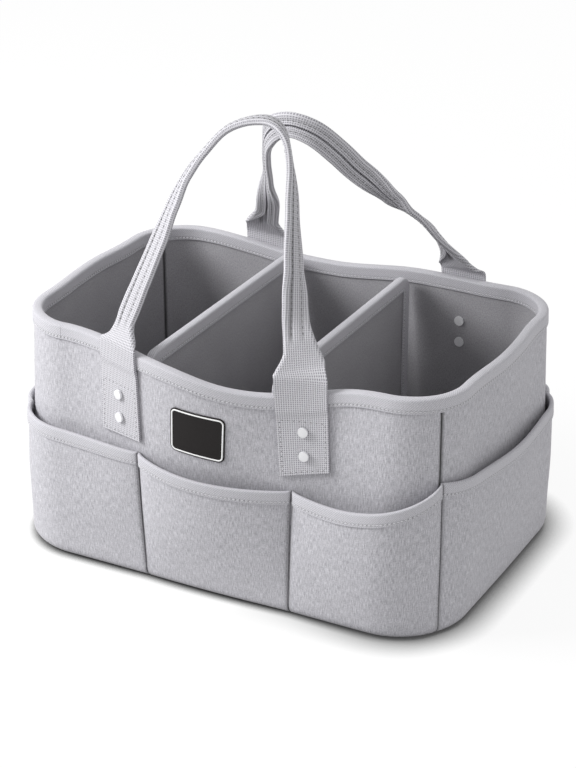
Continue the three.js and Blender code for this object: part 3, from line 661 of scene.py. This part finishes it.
rimTape = {"width": 9.5, "thickness": 1.1, "crown": 1.8, "stitchUp": 1.9, "dimple": 0.3, "step": 0.8,
           "square": 0.85, "rows": 30, "ripple": 0.25, "rippleLength": 60}
pocketTape = {"width": 9, "thickness": 0.9, "crown": 1.4, "stitchUp": 1.9, "dimple": 0.3, "step": 0.8,
              "square": 0.85, "rows": 24}
rowLook = {"pullWidth": 0.9, "shadeWidth": 0.7, "shade": (0.14, 0.8)}


def sewnFold(u, v, low, high, look, length, lean=0.0):
    # v runs from the outer lower edge over the top to the inner lower edge; gives out, up and shade
    outer, inner = high + gap + look["thickness"], low - gap - look["thickness"]
    middle, radius = (outer + inner) / 2, (outer - inner) / 2
    over = 2 * radius + look["crown"]
    total = 2 * look["width"] + over
    run = v * total
    angle = np.clip((run - look["width"]) / over, 0, 1) * np.pi
    # a low round arch over the edge
    up = np.minimum(np.minimum(run, total - run) - look["width"], 0) \
        + look["crown"] * np.abs(np.sin(angle)) ** look["square"]
    way = np.sign(np.cos(angle))
    out = middle + radius * way * np.abs(np.cos(angle)) ** look["square"]
    # the stitches pull the tape in, and painted shade darkens the dimples where the thread goes through
    row = look["width"] - look["stitchUp"]
    between = 0.5 + 0.5 * np.cos(2 * np.pi * u * stitchCount(length))
    pull = look["dimple"] * bump(-up, row, rowLook["pullWidth"]) * (0.5 + 0.5 * between)
    shade = bump(-up, row, rowLook["shadeWidth"]) * mix(*rowLook["shade"], between ** 3)
    return out - way * pull - lean * np.clip(-up / look["width"], 0, 1), up, shade


rimPlaces, rimShares, rimLength = evenPlaces(0, 8, wall["height"])


def rimShape(u, v):
    place = np.interp(u, rimShares, rimPlaces)
    out, up, shade = sewnFold(u, v, -wallThickness, 0, rimTape, rimLength)
    wave = rimTape["ripple"] * ripple(u * rimLength, 0 * u, rimTape["rippleLength"])
    return atHeight(place, rimHeight(place) + up + wave, out), shade


makeSheet("rim_binding_tape", (int(rimLength / rimTape["step"]), rimTape["rows"]), rimShape,
          rimTape["thickness"], (bindingTape, "binding", "root", ["rim_binding"]),
          ring=True)


def rimRow(inside):
    place = np.interp(np.linspace(0, 1, 1600), rimShares, rimPlaces)
    z = rimHeight(place) - rimTape["width"] + rimTape["stitchUp"]
    out = gap + rimTape["thickness"] - threadSunk
    if inside:
        return atHeight(place, z, -wallThickness - out), -wallOutward(place, z)
    return atHeight(place, z, out), wallOutward(place, z)


stitches("rim_stitching", [rimRow(False), rimRow(True)], paleThread, "binding")
print("rim bound")


# Pockets

pocketTops = {"frontLeft": 112, "frontSeamLeft": 109, "frontSeamRight": 104, "frontRight": 124,
              "back": 110, "end": 112}
pocketLook = {"thickness": 1.1, "rimShape": 0.62, "baseShare": 0.12, "step": 1.7, "rows": 62,
              "bottomShare": 0.085, "ripple": 0.32, "rippleLength": 75, "calm": (5, 7, 1.02, 14),
              "seamShade": 0.45, "seamShadeWidth": 1.6, "seamRow": 1.3, "fullFrom": 0.62,
              "endShade": 0.3, "endShadeWidth": 0.9}
# how far each pocket seam is from the middle
frontLeftSeam, frontRightSeam, backRightSeam, backLeftSeam = (
    placeOfX(side, x, wall["edgeRadius"])
    for side, x in (("front", -57), ("front", 66), ("back", 62), ("back", -62)))
pocketList = [
    # name, from, to, top at each end, sag between them, fullness
    ("front_left", seamPlaces["frontLeft"], frontLeftSeam, "frontLeft", "frontSeamLeft", 0, 9),
    ("front_middle", frontLeftSeam, frontRightSeam, "frontSeamLeft", "frontSeamRight", 1, 11),
    ("front_right", frontRightSeam, seamPlaces["frontRight"], "frontSeamRight", "frontRight", 9, 15),
    ("right_end", seamPlaces["frontRight"], seamPlaces["backRight"], "frontRight", "end", 3, 7),
    ("back_right", seamPlaces["backRight"], backRightSeam, "end", "back", 3, 10),
    ("back_middle", backRightSeam, backLeftSeam, "back", "back", 3, 10),
    ("back_left", backLeftSeam, seamPlaces["backLeft"], "back", "end", 3, 10),
    ("left_end", seamPlaces["backLeft"], 8 + seamPlaces["frontLeft"], "end", "frontLeft", 3, 7),
]
pocketFoot = math.asin((wall["edgeRadius"] - gap) / (wall["edgeRadius"] + gap + pocketLook["thickness"]))


def pocketStandOff(share, level, bulge):
    rise = np.sin(np.pi / 2 * np.clip(mix(pocketLook["baseShare"], 1, level), 0, 1))
    across = np.sin(np.pi * np.clip(share, 0, 1)) ** pocketLook["rimShape"]
    return mix(gap, 2 * gap + pocketTape["thickness"], smooth(level / pocketLook["fullFrom"])) \
        + bulge * rise * across


def sewPocket(name, start, end, topStart, topEnd, sag, bulge):
    places, shares, length = evenPlaces(start + seamGap, end - seamGap)
    look = pocketLook

    def topOf(share):
        return mix(pocketTops[topStart], pocketTops[topEnd], share) - sag * np.sin(np.pi * share)

    def shape(u, v):
        place = np.interp(u, shares, places)
        level = bottomThenUp(v, look["bottomShare"], -pocketFoot)
        full = pocketStandOff(u, np.maximum(level, 0), bulge)
        out = np.where(level < 0, mix(gap, full, 1 + level / pocketFoot), full) + look["thickness"]
        fromSeam = np.minimum(u, 1 - u) * length
        wave = ripple(u * length + 70 * start, level * 100, look["rippleLength"])
        out = out + look["ripple"] * calm(look, level, fromSeam) * wave
        # painted shade along each seam of the pocket
        shade = look["seamShade"] * bump(fromSeam, 0, look["seamShadeWidth"])
        return onWall(place, level, out, topOf(u)), shade

    cloth = makeSheet(f"{name}_pocket_cloth", (int(length / look["step"]), look["rows"]), shape,
                      look["thickness"], (outerCloth, "cloth", "root", [f"{name}_pocket"]))

    def tapeOut(share):
        level = 1 - pocketTape["width"] / (topOf(share) - wall["edgeRadius"])
        high = pocketStandOff(share, 1, bulge)
        return high, high - pocketStandOff(share, level, bulge)

    def tapeShape(u, v):
        high, lean = tapeOut(u)
        out, up, shade = sewnFold(u, v, high, high + look["thickness"], pocketTape, length, lean)
        # painted shade where the tape's ends meet the seams
        shade = shade + look["endShade"] * bump(np.minimum(u, 1 - u) * length, 0, look["endShadeWidth"])
        return atHeight(np.interp(u, shares, places), topOf(u) + up, out), np.minimum(shade, 1)

    makeSheet(f"{name}_pocket_tape", (int(length / pocketTape["step"]), pocketTape["rows"]),
              tapeShape, pocketTape["thickness"],
              (bindingTape, "binding", "root", [f"{name}_pocket_binding"]))

    def tapeRow():
        u = np.linspace(0, 1, 300)
        place = np.interp(u, shares, places)
        high, lean = tapeOut(u)
        drop = pocketTape["width"] - pocketTape["stitchUp"]
        out = high + look["thickness"] + gap + pocketTape["thickness"] - threadSunk
        z = topOf(u) - drop
        return atHeight(place, z, out - lean * drop / pocketTape["width"]), wallOutward(place, z)

    def seamRow():
        level = np.linspace(0.06, 1, 200)
        u = 1 - look["seamRow"] / length + 0 * level
        place = np.interp(u, shares, places)
        out = pocketStandOff(u, level, bulge) + look["thickness"] - threadSunk
        z = mix(wall["edgeRadius"], topOf(u) - pocketTape["width"], level)
        return atHeight(place, z, out), wallOutward(place, z)

    return tapeRow(), seamRow()


tapeRows, seamRows = zip(*[sewPocket(*pocketSpec) for pocketSpec in pocketList])
stitches("pocket_stitching", tapeRows, paleThread, "binding")
stitches("seam_stitching", seamRows, seamThread, "cloth", size=seamStitch)
print("pockets sewn")


# Straps: a flat foot sewn and riveted to the wall, and above the rim a loop folded in half lengthwise

webbing = {"width": 38, "thickness": 2.2, "fold": 0.5, "slit": 0.7, "footLength": 70, "ramp": 7,
           "standOver": 2.6, "seat": 0.6}
handles = {
    "front": {"leftFoot": -75, "rightFoot": 76, "apex": 185, "lean": 27, "bend": 4, "leftRise": 0,
              "rightRise": 8, "fold": (((-6, 22), (-6, 22)), ((4, 46), (0, 23))), "sewnFrom": (16, 30),
              "turn": (8, 45), "footLean": (-3.4, 1.1)},
    "back": {"leftFoot": -82, "rightFoot": 95, "apex": 178, "lean": 37, "bend": 4, "leftRise": 0,
             "rightRise": 0, "fold": (((0, 44), (-2, 28)), ((0, 36), (0, 36))), "sewnFrom": (18, 18),
             "turn": (4, 34), "footLean": (0, 0)},
}
# across as a share of half the foot spacing, up as a share of the apex
routeShares = {
    "front": [
        (-1, 0), (-0.99, 0.1), (-0.95, 0.2), (-0.89, 0.32), (-0.82, 0.46), (-0.755, 0.6), (-0.67, 0.73),
        (-0.53, 0.84), (-0.35, 0.94), (-0.12, 0.99), (0.07, 1), (0.2, 0.98), (0.31, 0.93), (0.39, 0.86),
        (0.46, 0.78), (0.57, 0.6), (0.7, 0.4), (0.84, 0.21), (0.96, 0.06), (1, 0),
    ],
    "back": [
        (-1, 0), (-0.98, 0.06), (-0.93, 0.14), (-0.8, 0.32), (-0.67, 0.5), (-0.55, 0.71), (-0.43, 0.87),
        (-0.29, 0.96), (-0.13, 0.99), (0.04, 0.955), (0.2, 0.84), (0.33, 0.72), (0.48, 0.62),
        (0.63, 0.51), (0.76, 0.43), (0.87, 0.32), (0.955, 0.16), (1, 0),
    ],
}
# how far the outer face is turned from its loop, as a share of a right angle, at a share of the length
twistShares = {
    "front": [(0, 0), (0.05, 0.1), (0.12, 0.26), (0.2, 0.32), (0.27, 0.45), (0.33, 0.58), (0.38, 0.66),
              (0.5, 0.75), (0.6, 1.25), (0.7, 1.03), (0.8, 0.83), (0.86, 0.54), (0.93, 0.2), (1, 0)],
    "back": [(0, 0), (0.13, 0), (0.25, -0.6), (0.36, -0.68), (0.46, -0.4), (0.57, -0.64), (0.66, -0.46),
             (0.74, -0.02), (0.79, 0.3), (0.86, 0.48), (0.95, 0.15), (1, 0)],
}
outSign = {"front": -1, "back": 1}
leanOver = 90  # height over which a leaning foot's shift fades out of its loop
hingeHeight = {}
for side in ("front", "back"):
    edges = [handles[side][foot] + k * webbing["width"] / 2
             for foot in ("leftFoot", "rightFoot") for k in (-1, 0, 1)]
    rims = rimHeight(placeOfX(side, np.array(edges), wall["height"]))
    hingeHeight[side] = float(max(rims)) + gap + rimTape["thickness"] + webbing["standOver"] / 2


def footX(side, end, z):
    # the right foot leans a little: it is shifted at the rim and at its lower edge
    atRim, atLow = handles[side]["footLean"]
    up = np.clip((z - wall["height"] + webbing["footLength"]) / webbing["footLength"], 0, 1)
    return handles[side][f"{end}Foot"] + (mix(atLow, atRim, up) if end == "right" else 0)


def footPoint(side, x, across, z, out):
    place = placeOfX(side, x + across, z)
    low = rimHeight(place) - rimTape["width"]
    climbed = smooth((z - low + webbing["ramp"]) / (webbing["ramp"] - gap))
    stand = mix(webbing["seat"], 2 * gap + rimTape["thickness"], climbed)
    return atHeight(place, z, stand + out)


def smoothRoute(points, perSpan=40):
    # centripetal spline through the route's points
    points = np.array(points, float)
    ends = np.vstack([2 * points[0] - points[1], points, 2 * points[-1] - points[-2]])
    line = []
    for p0, p1, p2, p3 in zip(ends, ends[1:], ends[2:], ends[3:]):
        d0, d1, d2 = (math.sqrt(np.linalg.norm(b - a)) for a, b in ((p0, p1), (p1, p2), (p2, p3)))
        m1 = ((p1 - p0) / d0 - (p2 - p0) / (d0 + d1) + (p2 - p1) / d1) * d1
        m2 = ((p2 - p1) / d1 - (p3 - p1) / (d1 + d2) + (p3 - p2) / d2) * d1
        t = (np.arange(perSpan) / perSpan)[:, None]
        line.append(p1 + m1 * t + (3 * (p2 - p1) - 2 * m1 - m2) * t ** 2
                    + (2 * (p1 - p2) + m1 + m2) * t ** 3)
    return np.concatenate(line + [points[-1:]])


def twistAt(table, share):
    at, turn = zip(*table)
    k = np.clip(np.searchsorted(at, share), 1, len(at) - 1)
    before, after = np.array(at)[k - 1], np.array(at)[k]
    t = smooth((share - before) / (after - before))
    return np.pi / 2 * mix(np.array(turn)[k - 1], np.array(turn)[k], t)


def strapFrames(side, count):
    spec = handles[side]
    tilt = math.radians(spec["lean"])
    sign, base = outSign[side], hingeHeight[side]
    feet = [footPoint(side, footX(side, end, base), 0, base, webbing["thickness"] / 2)
            for end in ("left", "right")]
    route = []
    for across, up in routeShares[side]:
        share, h = (across + 1) / 2, up * spec["apex"]
        inward = h - spec["bend"] * (1 - math.exp(-h / spec["bend"]))
        near = (share > 0.5) * spec["footLean"][0] * (1 - smooth(h / leanOver))
        route.append((mix(spec["leftFoot"], spec["rightFoot"], share) + near,
                      mix(feet[0][1], feet[1][1], share) - sign * inward * math.sin(tilt),
                      base + h * math.cos(tilt)))
    line = smoothRoute(route)
    travelled = runAlong(line)
    length = travelled[-1]
    share = np.linspace(0, 1, count)
    point = onLine(share * length, travelled, line)
    tangent = unitVectors(np.gradient(point, axis=0))
    fromFoot = length * np.minimum(share, 1 - share)
    left = share < 0.5
    upright = np.stack([0 * share, 0 * share, np.where(left, 1, -1)], -1)
    tangent = unitVectors(mix(upright, tangent, smooth(fromFoot / strapLook["uprightOver"])[:, None]))
    front = np.array([0, sign * math.cos(tilt), math.sin(tilt)])
    walls = []
    for end, way in (("left", 1), ("right", -1)):
        a, b = (footPoint(side, footX(side, end, base), reach * way, base, 0) for reach in (-0.3, 0.3))
        walls.append(unitVectors(b - a))
    alongWall = np.where(left[:, None], walls[0], walls[1])
    inPlane = unitVectors(np.cross(tangent, front) * -sign)
    square = smooth((fromFoot - spec["turn"][0]) / (spec["turn"][1] - spec["turn"][0]))
    inner = mix(alongWall, inPlane, square[:, None])
    inner = unitVectors(inner - tangent * np.sum(inner * tangent, axis=1, keepdims=True))
    outer = np.cross(inner, tangent) * -sign
    turned = twistAt(twistShares[side], share)[:, None]
    # each edge's crease runs in over its own stretch of the strap
    folded = []
    for way in (0, 1):
        start, end = (np.where(left, spec["fold"][0][way][k], spec["fold"][1][way][k]) for k in (0, 1))
        folded.append(mix(0.02, 1, smooth((fromFoot - start) / (end - start))))
    return {
        "sewn": smooth((fromFoot - np.where(left, *spec["sewnFrom"])) / strapLook["sewnFade"] + 0.5),
        "share": share, "point": point, "fromFoot": fromFoot,
        "width": inner * np.cos(turned) + outer * np.sin(turned),
        "outer": outer * np.cos(turned) - inner * np.sin(turned),
        "folded": folded,
    }


def sinc(t):
    return np.sinc(t / np.pi)


def strapSection(s, folded):
    # s is measured across the flat strap from its middle; gives (across, up) and the face's normal.
    # the creases run in from the edges, so the part beyond each crease always lies flat behind
    t = webbing["thickness"] / 2
    bendLength = np.pi * (t + webbing["fold"] / 2)
    flat = mix(webbing["width"] / 2, webbing["width"] / 4 - bendLength / 2 + webbing["slit"] / 2, folded)
    far = np.abs(s)
    run = np.clip(far - flat, 0, bendLength)
    turned = np.pi * run / bendLength
    rest = np.maximum(far - flat - bendLength, 0)
    across = np.minimum(far, flat) + run * sinc(turned) - rest
    up = -run * sinc(turned / 2) * np.sin(turned / 2)
    sign = np.sign(s)
    return sign * across, up, sign * np.sin(turned), np.cos(turned)


strapLook = {"stations": 330, "footStations": 72, "columns": 60, "rowOffset": 4.0, "groove": 0.65,
             "grooveWidth": 1.2, "grooveShade": 0.7, "faint": 0.3, "spread": 2.6, "lift": 10,
             "inset": 2.4, "topRow": 28, "pillow": 0.25, "pillowReach": 4, "uprightOver": 4,
             "sewnFade": 8}


def lowEdge(spec, end, across):
    return wall["height"] - webbing["footLength"] + spec[f"{end}Rise"] * across / webbing["width"]


def sewStrap(side):
    count, footCount, spec = strapLook["stations"], strapLook["footStations"], handles[side]
    frames, half, base = strapFrames(side, count + 1), webbing["width"] / 2, hingeHeight[side]
    total = count + 2 * footCount

    def rowOffset(folded):
        return strapLook["rowOffset"] + strapLook["spread"] * (1 - folded)

    def onLoop(k, s):
        folded = np.where(s < 0, frames["folded"][0][k], frames["folded"][1][k])
        across, up, nAcross, nUp = strapSection(s, folded)
        sewn = frames["sewn"][k]
        # the row on the left is pulled in deeper, on both legs
        faint = mix(1.0 * (s > 0), 1.0 * (s < 0), smooth((frames["share"][k] - 0.4) / 0.2))
        near, far = (bump(np.abs(s), offset, strapLook["grooveWidth"])
                     for offset in (rowOffset(folded), half - rowOffset(folded)))
        line = near * mix(1, strapLook["faint"], faint) + far * strapLook["faint"]
        sink = strapLook["groove"] * sewn * line
        pillow = strapLook["pillow"] * sewn * swell(s, 0, strapLook["pillowReach"]) ** 0.5
        across, up = across - nAcross * sink, up - nUp * sink + pillow
        points = frames["width"][k] * across[:, None] + frames["outer"][k] * up[:, None]
        # painted shade in the sewn grooves, strongest along the deeper row
        return frames["point"][k] + points, sewn * strapLook["grooveShade"] * line

    def shape(u, v):
        station = np.round(u * total).astype(int) - footCount
        s = mix(-1, 1, v) * half * outSign[side]
        k = np.clip(station, 0, count)
        loop, shade = onLoop(k, s)
        left = station < count / 2
        across = np.where(left, s, -s)
        down = np.where(left, -station, station - count) / footCount
        low = np.where(left, lowEdge(spec, "left", across), lowEdge(spec, "right", across))
        z = np.where(down > 0, mix(base, low, down), base + frames["fromFoot"][k])
        x = np.where(left, footX(side, "left", z), footX(side, "right", z))
        flat = footPoint(side, x, across, z, webbing["thickness"] / 2)
        share = smooth(frames["fromFoot"][k] / strapLook["lift"])[:, None] * (down <= 0)[:, None]
        return mix(flat, loop, share), np.clip(shade, 0, 1)

    piece = sewGrid(f"{side}_strap_webbing", total, strapLook["columns"], shape)
    swapMap(piece)
    thicken(piece, webbing["thickness"], offset=0, edge=0.4, even=False)
    dress(piece, strapWebbing, "webbing", None,
          [f"{side}_handle", f"{side}_left_strap_foot", f"{side}_right_strap_foot"])
    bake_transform(piece)

    rows = []
    t = webbing["thickness"] / 2
    sewn, tight = frames["sewn"] > 0.9, np.minimum(*frames["folded"]) > 0.98
    under = -2 * (t + webbing["fold"] / 2) - t + threadSunk
    for way in (-1, 1):
        offset = way * rowOffset(frames["folded"][(way + 1) // 2])[:, None]
        for where, level, facing in ((sewn, t - threadSunk, 1), (tight, under, -1)):
            face = frames["point"] + frames["width"] * offset + frames["outer"] * level
            rows.append((face[where], facing * frames["outer"][where]))
    stitches(f"{side}_handle_stitching", rows, darkThread, "webbing", f"{side}_handle_strap",
             strapStitch)
    for end in ("left", "right"):
        sewFootRows(side, end)


def sewFootRows(side, end):
    # a rectangle of stitches holds each flat end on the wall
    spec, inset = handles[side], webbing["width"] / 2 - strapLook["inset"]
    topRow = wall["height"] - strapLook["topRow"]

    def line(a, b):
        t = np.linspace(0, 1, 60)
        across, z = mix(a[0], b[0], t), mix(a[1], b[1], t)
        x = footX(side, end, z)
        out = webbing["thickness"] - threadSunk / 2
        return footPoint(side, x, across, z, out), wallOutward(placeOfX(side, x + across, z), z)

    lowLeft, lowRight = (lowEdge(spec, end, k * inset) + strapLook["inset"] for k in (-1, 1))
    corners = [(-inset, topRow), (-inset, lowLeft), (inset, lowRight), (inset, topRow)]
    rows = [line(a, b) for a, b in zip(corners, corners[1:] + corners[:1])]
    stitches(f"{side}_{end}_foot_stitching", rows, darkThread, "webbing", size=footStitch)


def swapMap(piece):
    # on a strap the map's first axis runs across it
    data = piece.data.uv_layers.active.data
    flat = np.zeros(len(data) * 2)
    data.foreach_get("uv", flat)
    data.foreach_set("uv", flat.reshape(-1, 2)[:, ::-1].ravel())


for side in ("front", "back"):
    sewStrap(side)
print("straps folded and sewn")


# Rivets: a domed cap outside, its shank through the layers, and a washer inside

rivet = {"capRadius": 4, "capHeight": 1.7, "shankRadius": 1.4, "washerHeight": 1, "seat": 0.6,
         "upper": 36, "lower": 55, "sides": 40, "rounding": 0.6, "dome": 0.18, "sunk": 0.2}
onStrap = webbing["seat"] + webbing["thickness"] + rivet["seat"]
onLining = -wallThickness - rivet["seat"]


def disc(radius, low, height):
    # a disc on the Z axis, from low upwards
    deselect()
    bpy.ops.mesh.primitive_cylinder_add(vertices=rivet["sides"], radius=radius * mm, depth=height * mm,
                                        location=(0, 0, (low + height / 2) * mm))
    bpy.ops.object.transform_apply(location=True, rotation=True, scale=True)
    return bpy.context.active_object


def domedDisc(radius, low, height):
    # its upper edge is rounded, and its top rises in three steps
    piece = disc(radius, low, height)
    topZ = (low + height) * mm
    editAll(piece, bpy.ops.mesh.select_all, action="DESELECT")
    for edge in piece.data.edges:
        edge.select = all(abs(piece.data.vertices[k].co.z - topZ) < 1e-7 for k in edge.vertices)
    bpy.ops.object.mode_set(mode="EDIT")
    bpy.ops.mesh.select_mode(type="EDGE")
    bpy.ops.mesh.bevel(offset=rivet["rounding"] * mm, segments=5, profile=0.5)
    bpy.ops.object.mode_set(mode="OBJECT")
    for face in piece.data.polygons:
        face.select = face.normal.z > 0.99 and face.center.z > topZ - 1e-6
    bpy.ops.object.mode_set(mode="EDIT")
    bpy.ops.mesh.select_mode(type="FACE")
    for rise in (0.5, 0.36, 0.22):
        bpy.ops.mesh.inset(thickness=radius * mm * 0.16)
        bpy.ops.transform.translate(value=(0, 0, rivet["dome"] * mm * rise))
    bpy.ops.object.mode_set(mode="OBJECT")
    return piece


def makeRivet():
    parts = [
        domedDisc(rivet["capRadius"], onStrap, rivet["capHeight"] - 0.3),
        disc(rivet["shankRadius"], onLining - rivet["sunk"], onStrap - onLining + 2 * rivet["sunk"]),
        disc(rivet["capRadius"], onLining - rivet["washerHeight"], rivet["washerHeight"]),
    ]
    deselect()
    for part in parts:
        part.select_set(True)
    bpy.context.view_layer.objects.active = parts[0]
    bpy.ops.object.join()
    smoothUpTo(parts[0], 35)
    return parts[0]


pattern = makeRivet()
for side in ("front", "back"):
    for end in ("left", "right"):
        for row in ("upper", "lower"):
            z = wall["height"] - rivet[row]
            place = placeOfX(side, footX(side, end, z), z)
            nx, ny, _ = (float(n) for n in wallOutward(place, z))
            piece = addObject(f"{side}_{end}_{row}_rivet_metal", pattern.data.copy())
            turnIn = Matrix(((-ny, 0, nx), (nx, 0, ny), (0, 1, 0))).to_4x4()
            piece.data.transform(Matrix.Translation(Vector(atHeight(place, z, 0) * mm)) @ turnIn)
            dress(piece, satinMetal, "metal", nodes=[f"{side}_{end}_{row}_rivet"])
bpy.data.objects.remove(pattern)
print("rivets set")


# Label: a moulded rubber patch with a raised line near its edge, left bare inside

label = {"width": 44.5, "height": 37.5, "cornerRadius": 5, "thickness": 1.1, "centreX": -4,
         "centreDrop": 49.8, "tilt": 4, "lineInset": 1.1, "lineWidth": 1.2, "lineHeight": 0.45,
         "lineSunk": 0.15, "edgeRound": 0.45, "closedTo": 0.4, "leastRadius": 0.2}


def labelOutline(u, inset):
    # clockwise, seen from outside
    w, h = label["width"] / 2 - inset, label["height"] / 2 - inset
    r = np.maximum(label["cornerRadius"] - inset, label["leastRadius"])
    spans = [2 * (w - r), np.pi / 2 * r, 2 * (h - r), np.pi / 2 * r]
    run = u * 2 * sum(spans)
    x, z = -(w - r) + 0 * u, h + 0 * u
    heading, start = 0 * u, 0 * u
    for k in range(8):
        part = np.clip(run - start, 0, spans[k % 4])
        if k % 2 == 0:
            x = x + part * np.cos(heading)
            z = z - part * np.sin(heading)
        else:
            turned = heading + part / r
            x = x + r * (np.sin(turned) - np.sin(heading))
            z = z + r * (np.cos(turned) - np.cos(heading))
            heading = turned
        start = start + spans[k % 4]
    return x, z


def onLabelWall(x, z, out):
    turn = math.radians(label["tilt"])
    across = x * math.cos(turn) + z * math.sin(turn)
    height = wall["height"] - label["centreDrop"] + z * math.cos(turn) - x * math.sin(turn)
    return atHeight(placeOfX("front", label["centreX"] + across, height), height, out)


def patchShape(u, v):
    r, edge = label["edgeRound"], gap + label["thickness"]
    middle = label["height"] / 2 - label["closedTo"]
    # share of the way from the front's middle round the edge to the back's, inset, height
    profile = [(0, middle, edge), (0.6, 2 * r, edge), (0.65, r, edge - 0.1 * r),
               (0.7, 0.3 * r, edge - 0.5 * r), (0.75, 0, edge - r), (0.85, 0.2, gap), (1, middle, gap)]
    at, insets, outs = zip(*profile)
    inset = np.interp(v, at, insets)
    x, z = labelOutline(u, np.minimum(inset, label["cornerRadius"] - label["leastRadius"]))
    squeeze = np.maximum(inset - label["cornerRadius"], 0)
    shrink = np.clip(1 - squeeze / (middle - label["cornerRadius"]), 0, 1)
    return onLabelWall(x * shrink, z * shrink, np.interp(v, at, outs)), 0 * u


def lineShape(u, v):
    angle, half = v * 2 * np.pi, label["lineWidth"] / 2
    x, z = labelOutline(u, label["lineInset"] + half + half * np.cos(angle))
    rise = np.maximum(np.sin(angle), 0) ** 0.6
    lift = np.where(rise > 0, label["lineHeight"] * rise, -label["lineSunk"])
    return onLabelWall(x, z, gap + label["thickness"] + lift), 0 * u


patch = sewGrid("label_patch_rubber", 160, 40, patchShape, ring=True)
smoothUpTo(patch, 40)
dress(patch, blackRubber, "rubber", nodes=["label_patch"])
border = sewGrid("label_line_rubber", 160, 10, lineShape, ring=True)
smoothUpTo(border, 60)
dress(border, whiteRubber, "line", nodes=["label_line"])
print("label set")


# Dividers: padded boards with a bound edge and hook tape on the upright edges

divider = {"thickness": 4, "top": 187, "cornerRadius": 10, "wallClearance": 1.6, "hookWidth": 3.4,
           "hookThickness": 1, "hookPile": 0.7, "hookLift": 0.25, "hookShare": 0.66,
           "left": -54, "right": 50, "ripple": 0.25, "rippleLength": 60, "tapeStep": 1.3}
dividerTape = {"width": 9.5, "thickness": 1.1, "crown": 1.35, "stitchUp": 1.9, "dimple": 0.2,
               "square": 0.7}
dividerLow = wallThickness + gap


def edgeReach(side, x, z):
    # how far the divider reaches towards the wall at each height: no further than anywhere above it
    heights = np.linspace(z, wall["height"], 25)
    best = np.full(np.shape(z), 1e9)
    for height in heights:
        for k in (-1, 1):
            place = placeOfX(side, x + k * divider["thickness"], height)
            nearRim = height > rimHeight(place) - 2 * rimTape["width"]
            edge = np.clip((wall["edgeRadius"] - height) / (wall["edgeRadius"] - wallThickness), 0, 1)
            inset = mix(wallThickness, wall["edgeRadius"], edge) + nearRim * (gap + rimTape["thickness"])
            best = np.minimum(best, np.abs(atHeight(place, height, -inset)[..., 1]))
    room = divider["wallClearance"] + divider["hookThickness"] + dividerTape["thickness"] + 2 * gap
    return best - room


def dividerEdge(side, x, z):
    # the upright edge is straight between a few heights, up to the rounded corner
    levels = mix(dividerLow, divider["top"], np.array([0, 0.33, 0.67, 1]))
    below = np.minimum(z, divider["top"] - divider["cornerRadius"])
    return outSign[side] * np.interp(below, levels, edgeReach(side, x, levels))


def dividerOutline(x):
    top, r = divider["top"], divider["cornerRadius"]
    straight, arc = np.linspace(dividerLow, top - r, 60)[:-1], np.linspace(0, np.pi / 2, 10)
    halves = []
    for side in ("front", "back"):
        z = np.concatenate([straight, top - r + r * np.sin(arc)])
        y = dividerEdge(side, x, z)
        y[len(straight):] -= outSign[side] * r * (1 - np.cos(arc))
        halves.append(np.stack([y, z], -1))
    across = mix(halves[0][-1], halves[1][-1], np.linspace(0, 1, 50)[1:-1, None])
    return np.concatenate([halves[0], across, halves[1][::-1]])


def makeDivider(name, x):
    outline = dividerOutline(x)
    travelled = runAlong(outline)
    length = travelled[-1]
    way = unitVectors(np.gradient(outline, axis=0))
    top, r = divider["top"], divider["cornerRadius"]

    def panelShape(u, v):
        z = mix(dividerLow, top, v)
        round = r - np.sqrt(r * r - np.clip(z - (top - r), 0, r) ** 2)
        y = mix(dividerEdge("front", x, z) + round, dividerEdge("back", x, z) - round, u)
        wave = divider["ripple"] * ripple(y, z, divider["rippleLength"])
        return np.stack([x + wave, y, z], -1), 0 * u

    panel = sewGrid(f"{name}_pad", 90, 80, panelShape)
    applyModifier(panel, "SOLIDIFY", thickness=divider["thickness"] * mm, offset=0)
    smoothUpTo(panel, 50)
    dress(panel, liningCloth, "lining", name, [f"{name}_panel"])

    def onEdge(share, across, up):
        y, z = onLine(share * length, travelled, outline).T
        dy, dz = unitVectors(onLine(share * length, travelled, way)).T
        return np.stack([x + across + 0 * y, y - dz * up, np.maximum(z + dy * up, dividerLow)], -1)

    half = divider["thickness"] / 2

    def tapeShape(u, v):
        across, up, shade = sewnFold(u, v, -half, half, dividerTape, length)
        return onEdge(u, across, up), shade

    makeSheet(f"{name}_tape", (int(length / divider["tapeStep"]), 24), tapeShape,
              dividerTape["thickness"], (bindingTape, "binding", name, [f"{name}_binding"]))
    rows = []
    for sign in (-1.0, 1.0):
        share = np.linspace(0, 1, 500)
        out = sign * (half + gap + dividerTape["thickness"] - threadSunk)
        row = onEdge(share, out, dividerTape["stitchUp"] - dividerTape["width"])
        rows.append((row, np.tile([sign, 0, 0], (500, 1))))
    stitches(f"{name}_stitching", rows, paleThread, "binding", name)

    hookEnd = divider["hookShare"] * (top - r - dividerLow) / length
    for end, sign in (("front", 1), ("back", -1)):
        def hookShape(u, v):
            across = sign * mix(-1, 1, u) * divider["hookWidth"] / 2
            share = v * hookEnd if end == "front" else 1 - v * hookEnd
            return onEdge(share, across, dividerTape["crown"] + divider["hookLift"]), 0 * u

        hooks = sewGrid(f"{name}_{end}_hooks", 6, 60, hookShape)
        thicken(hooks, divider["hookThickness"] * divider["hookPile"], edge=0.2)
        dress(hooks, hookTape, "hook", name, [f"{name}_{end}_hook_tape"])


makeDivider("left_divider", divider["left"])
makeDivider("right_divider", divider["right"])
print("dividers made")
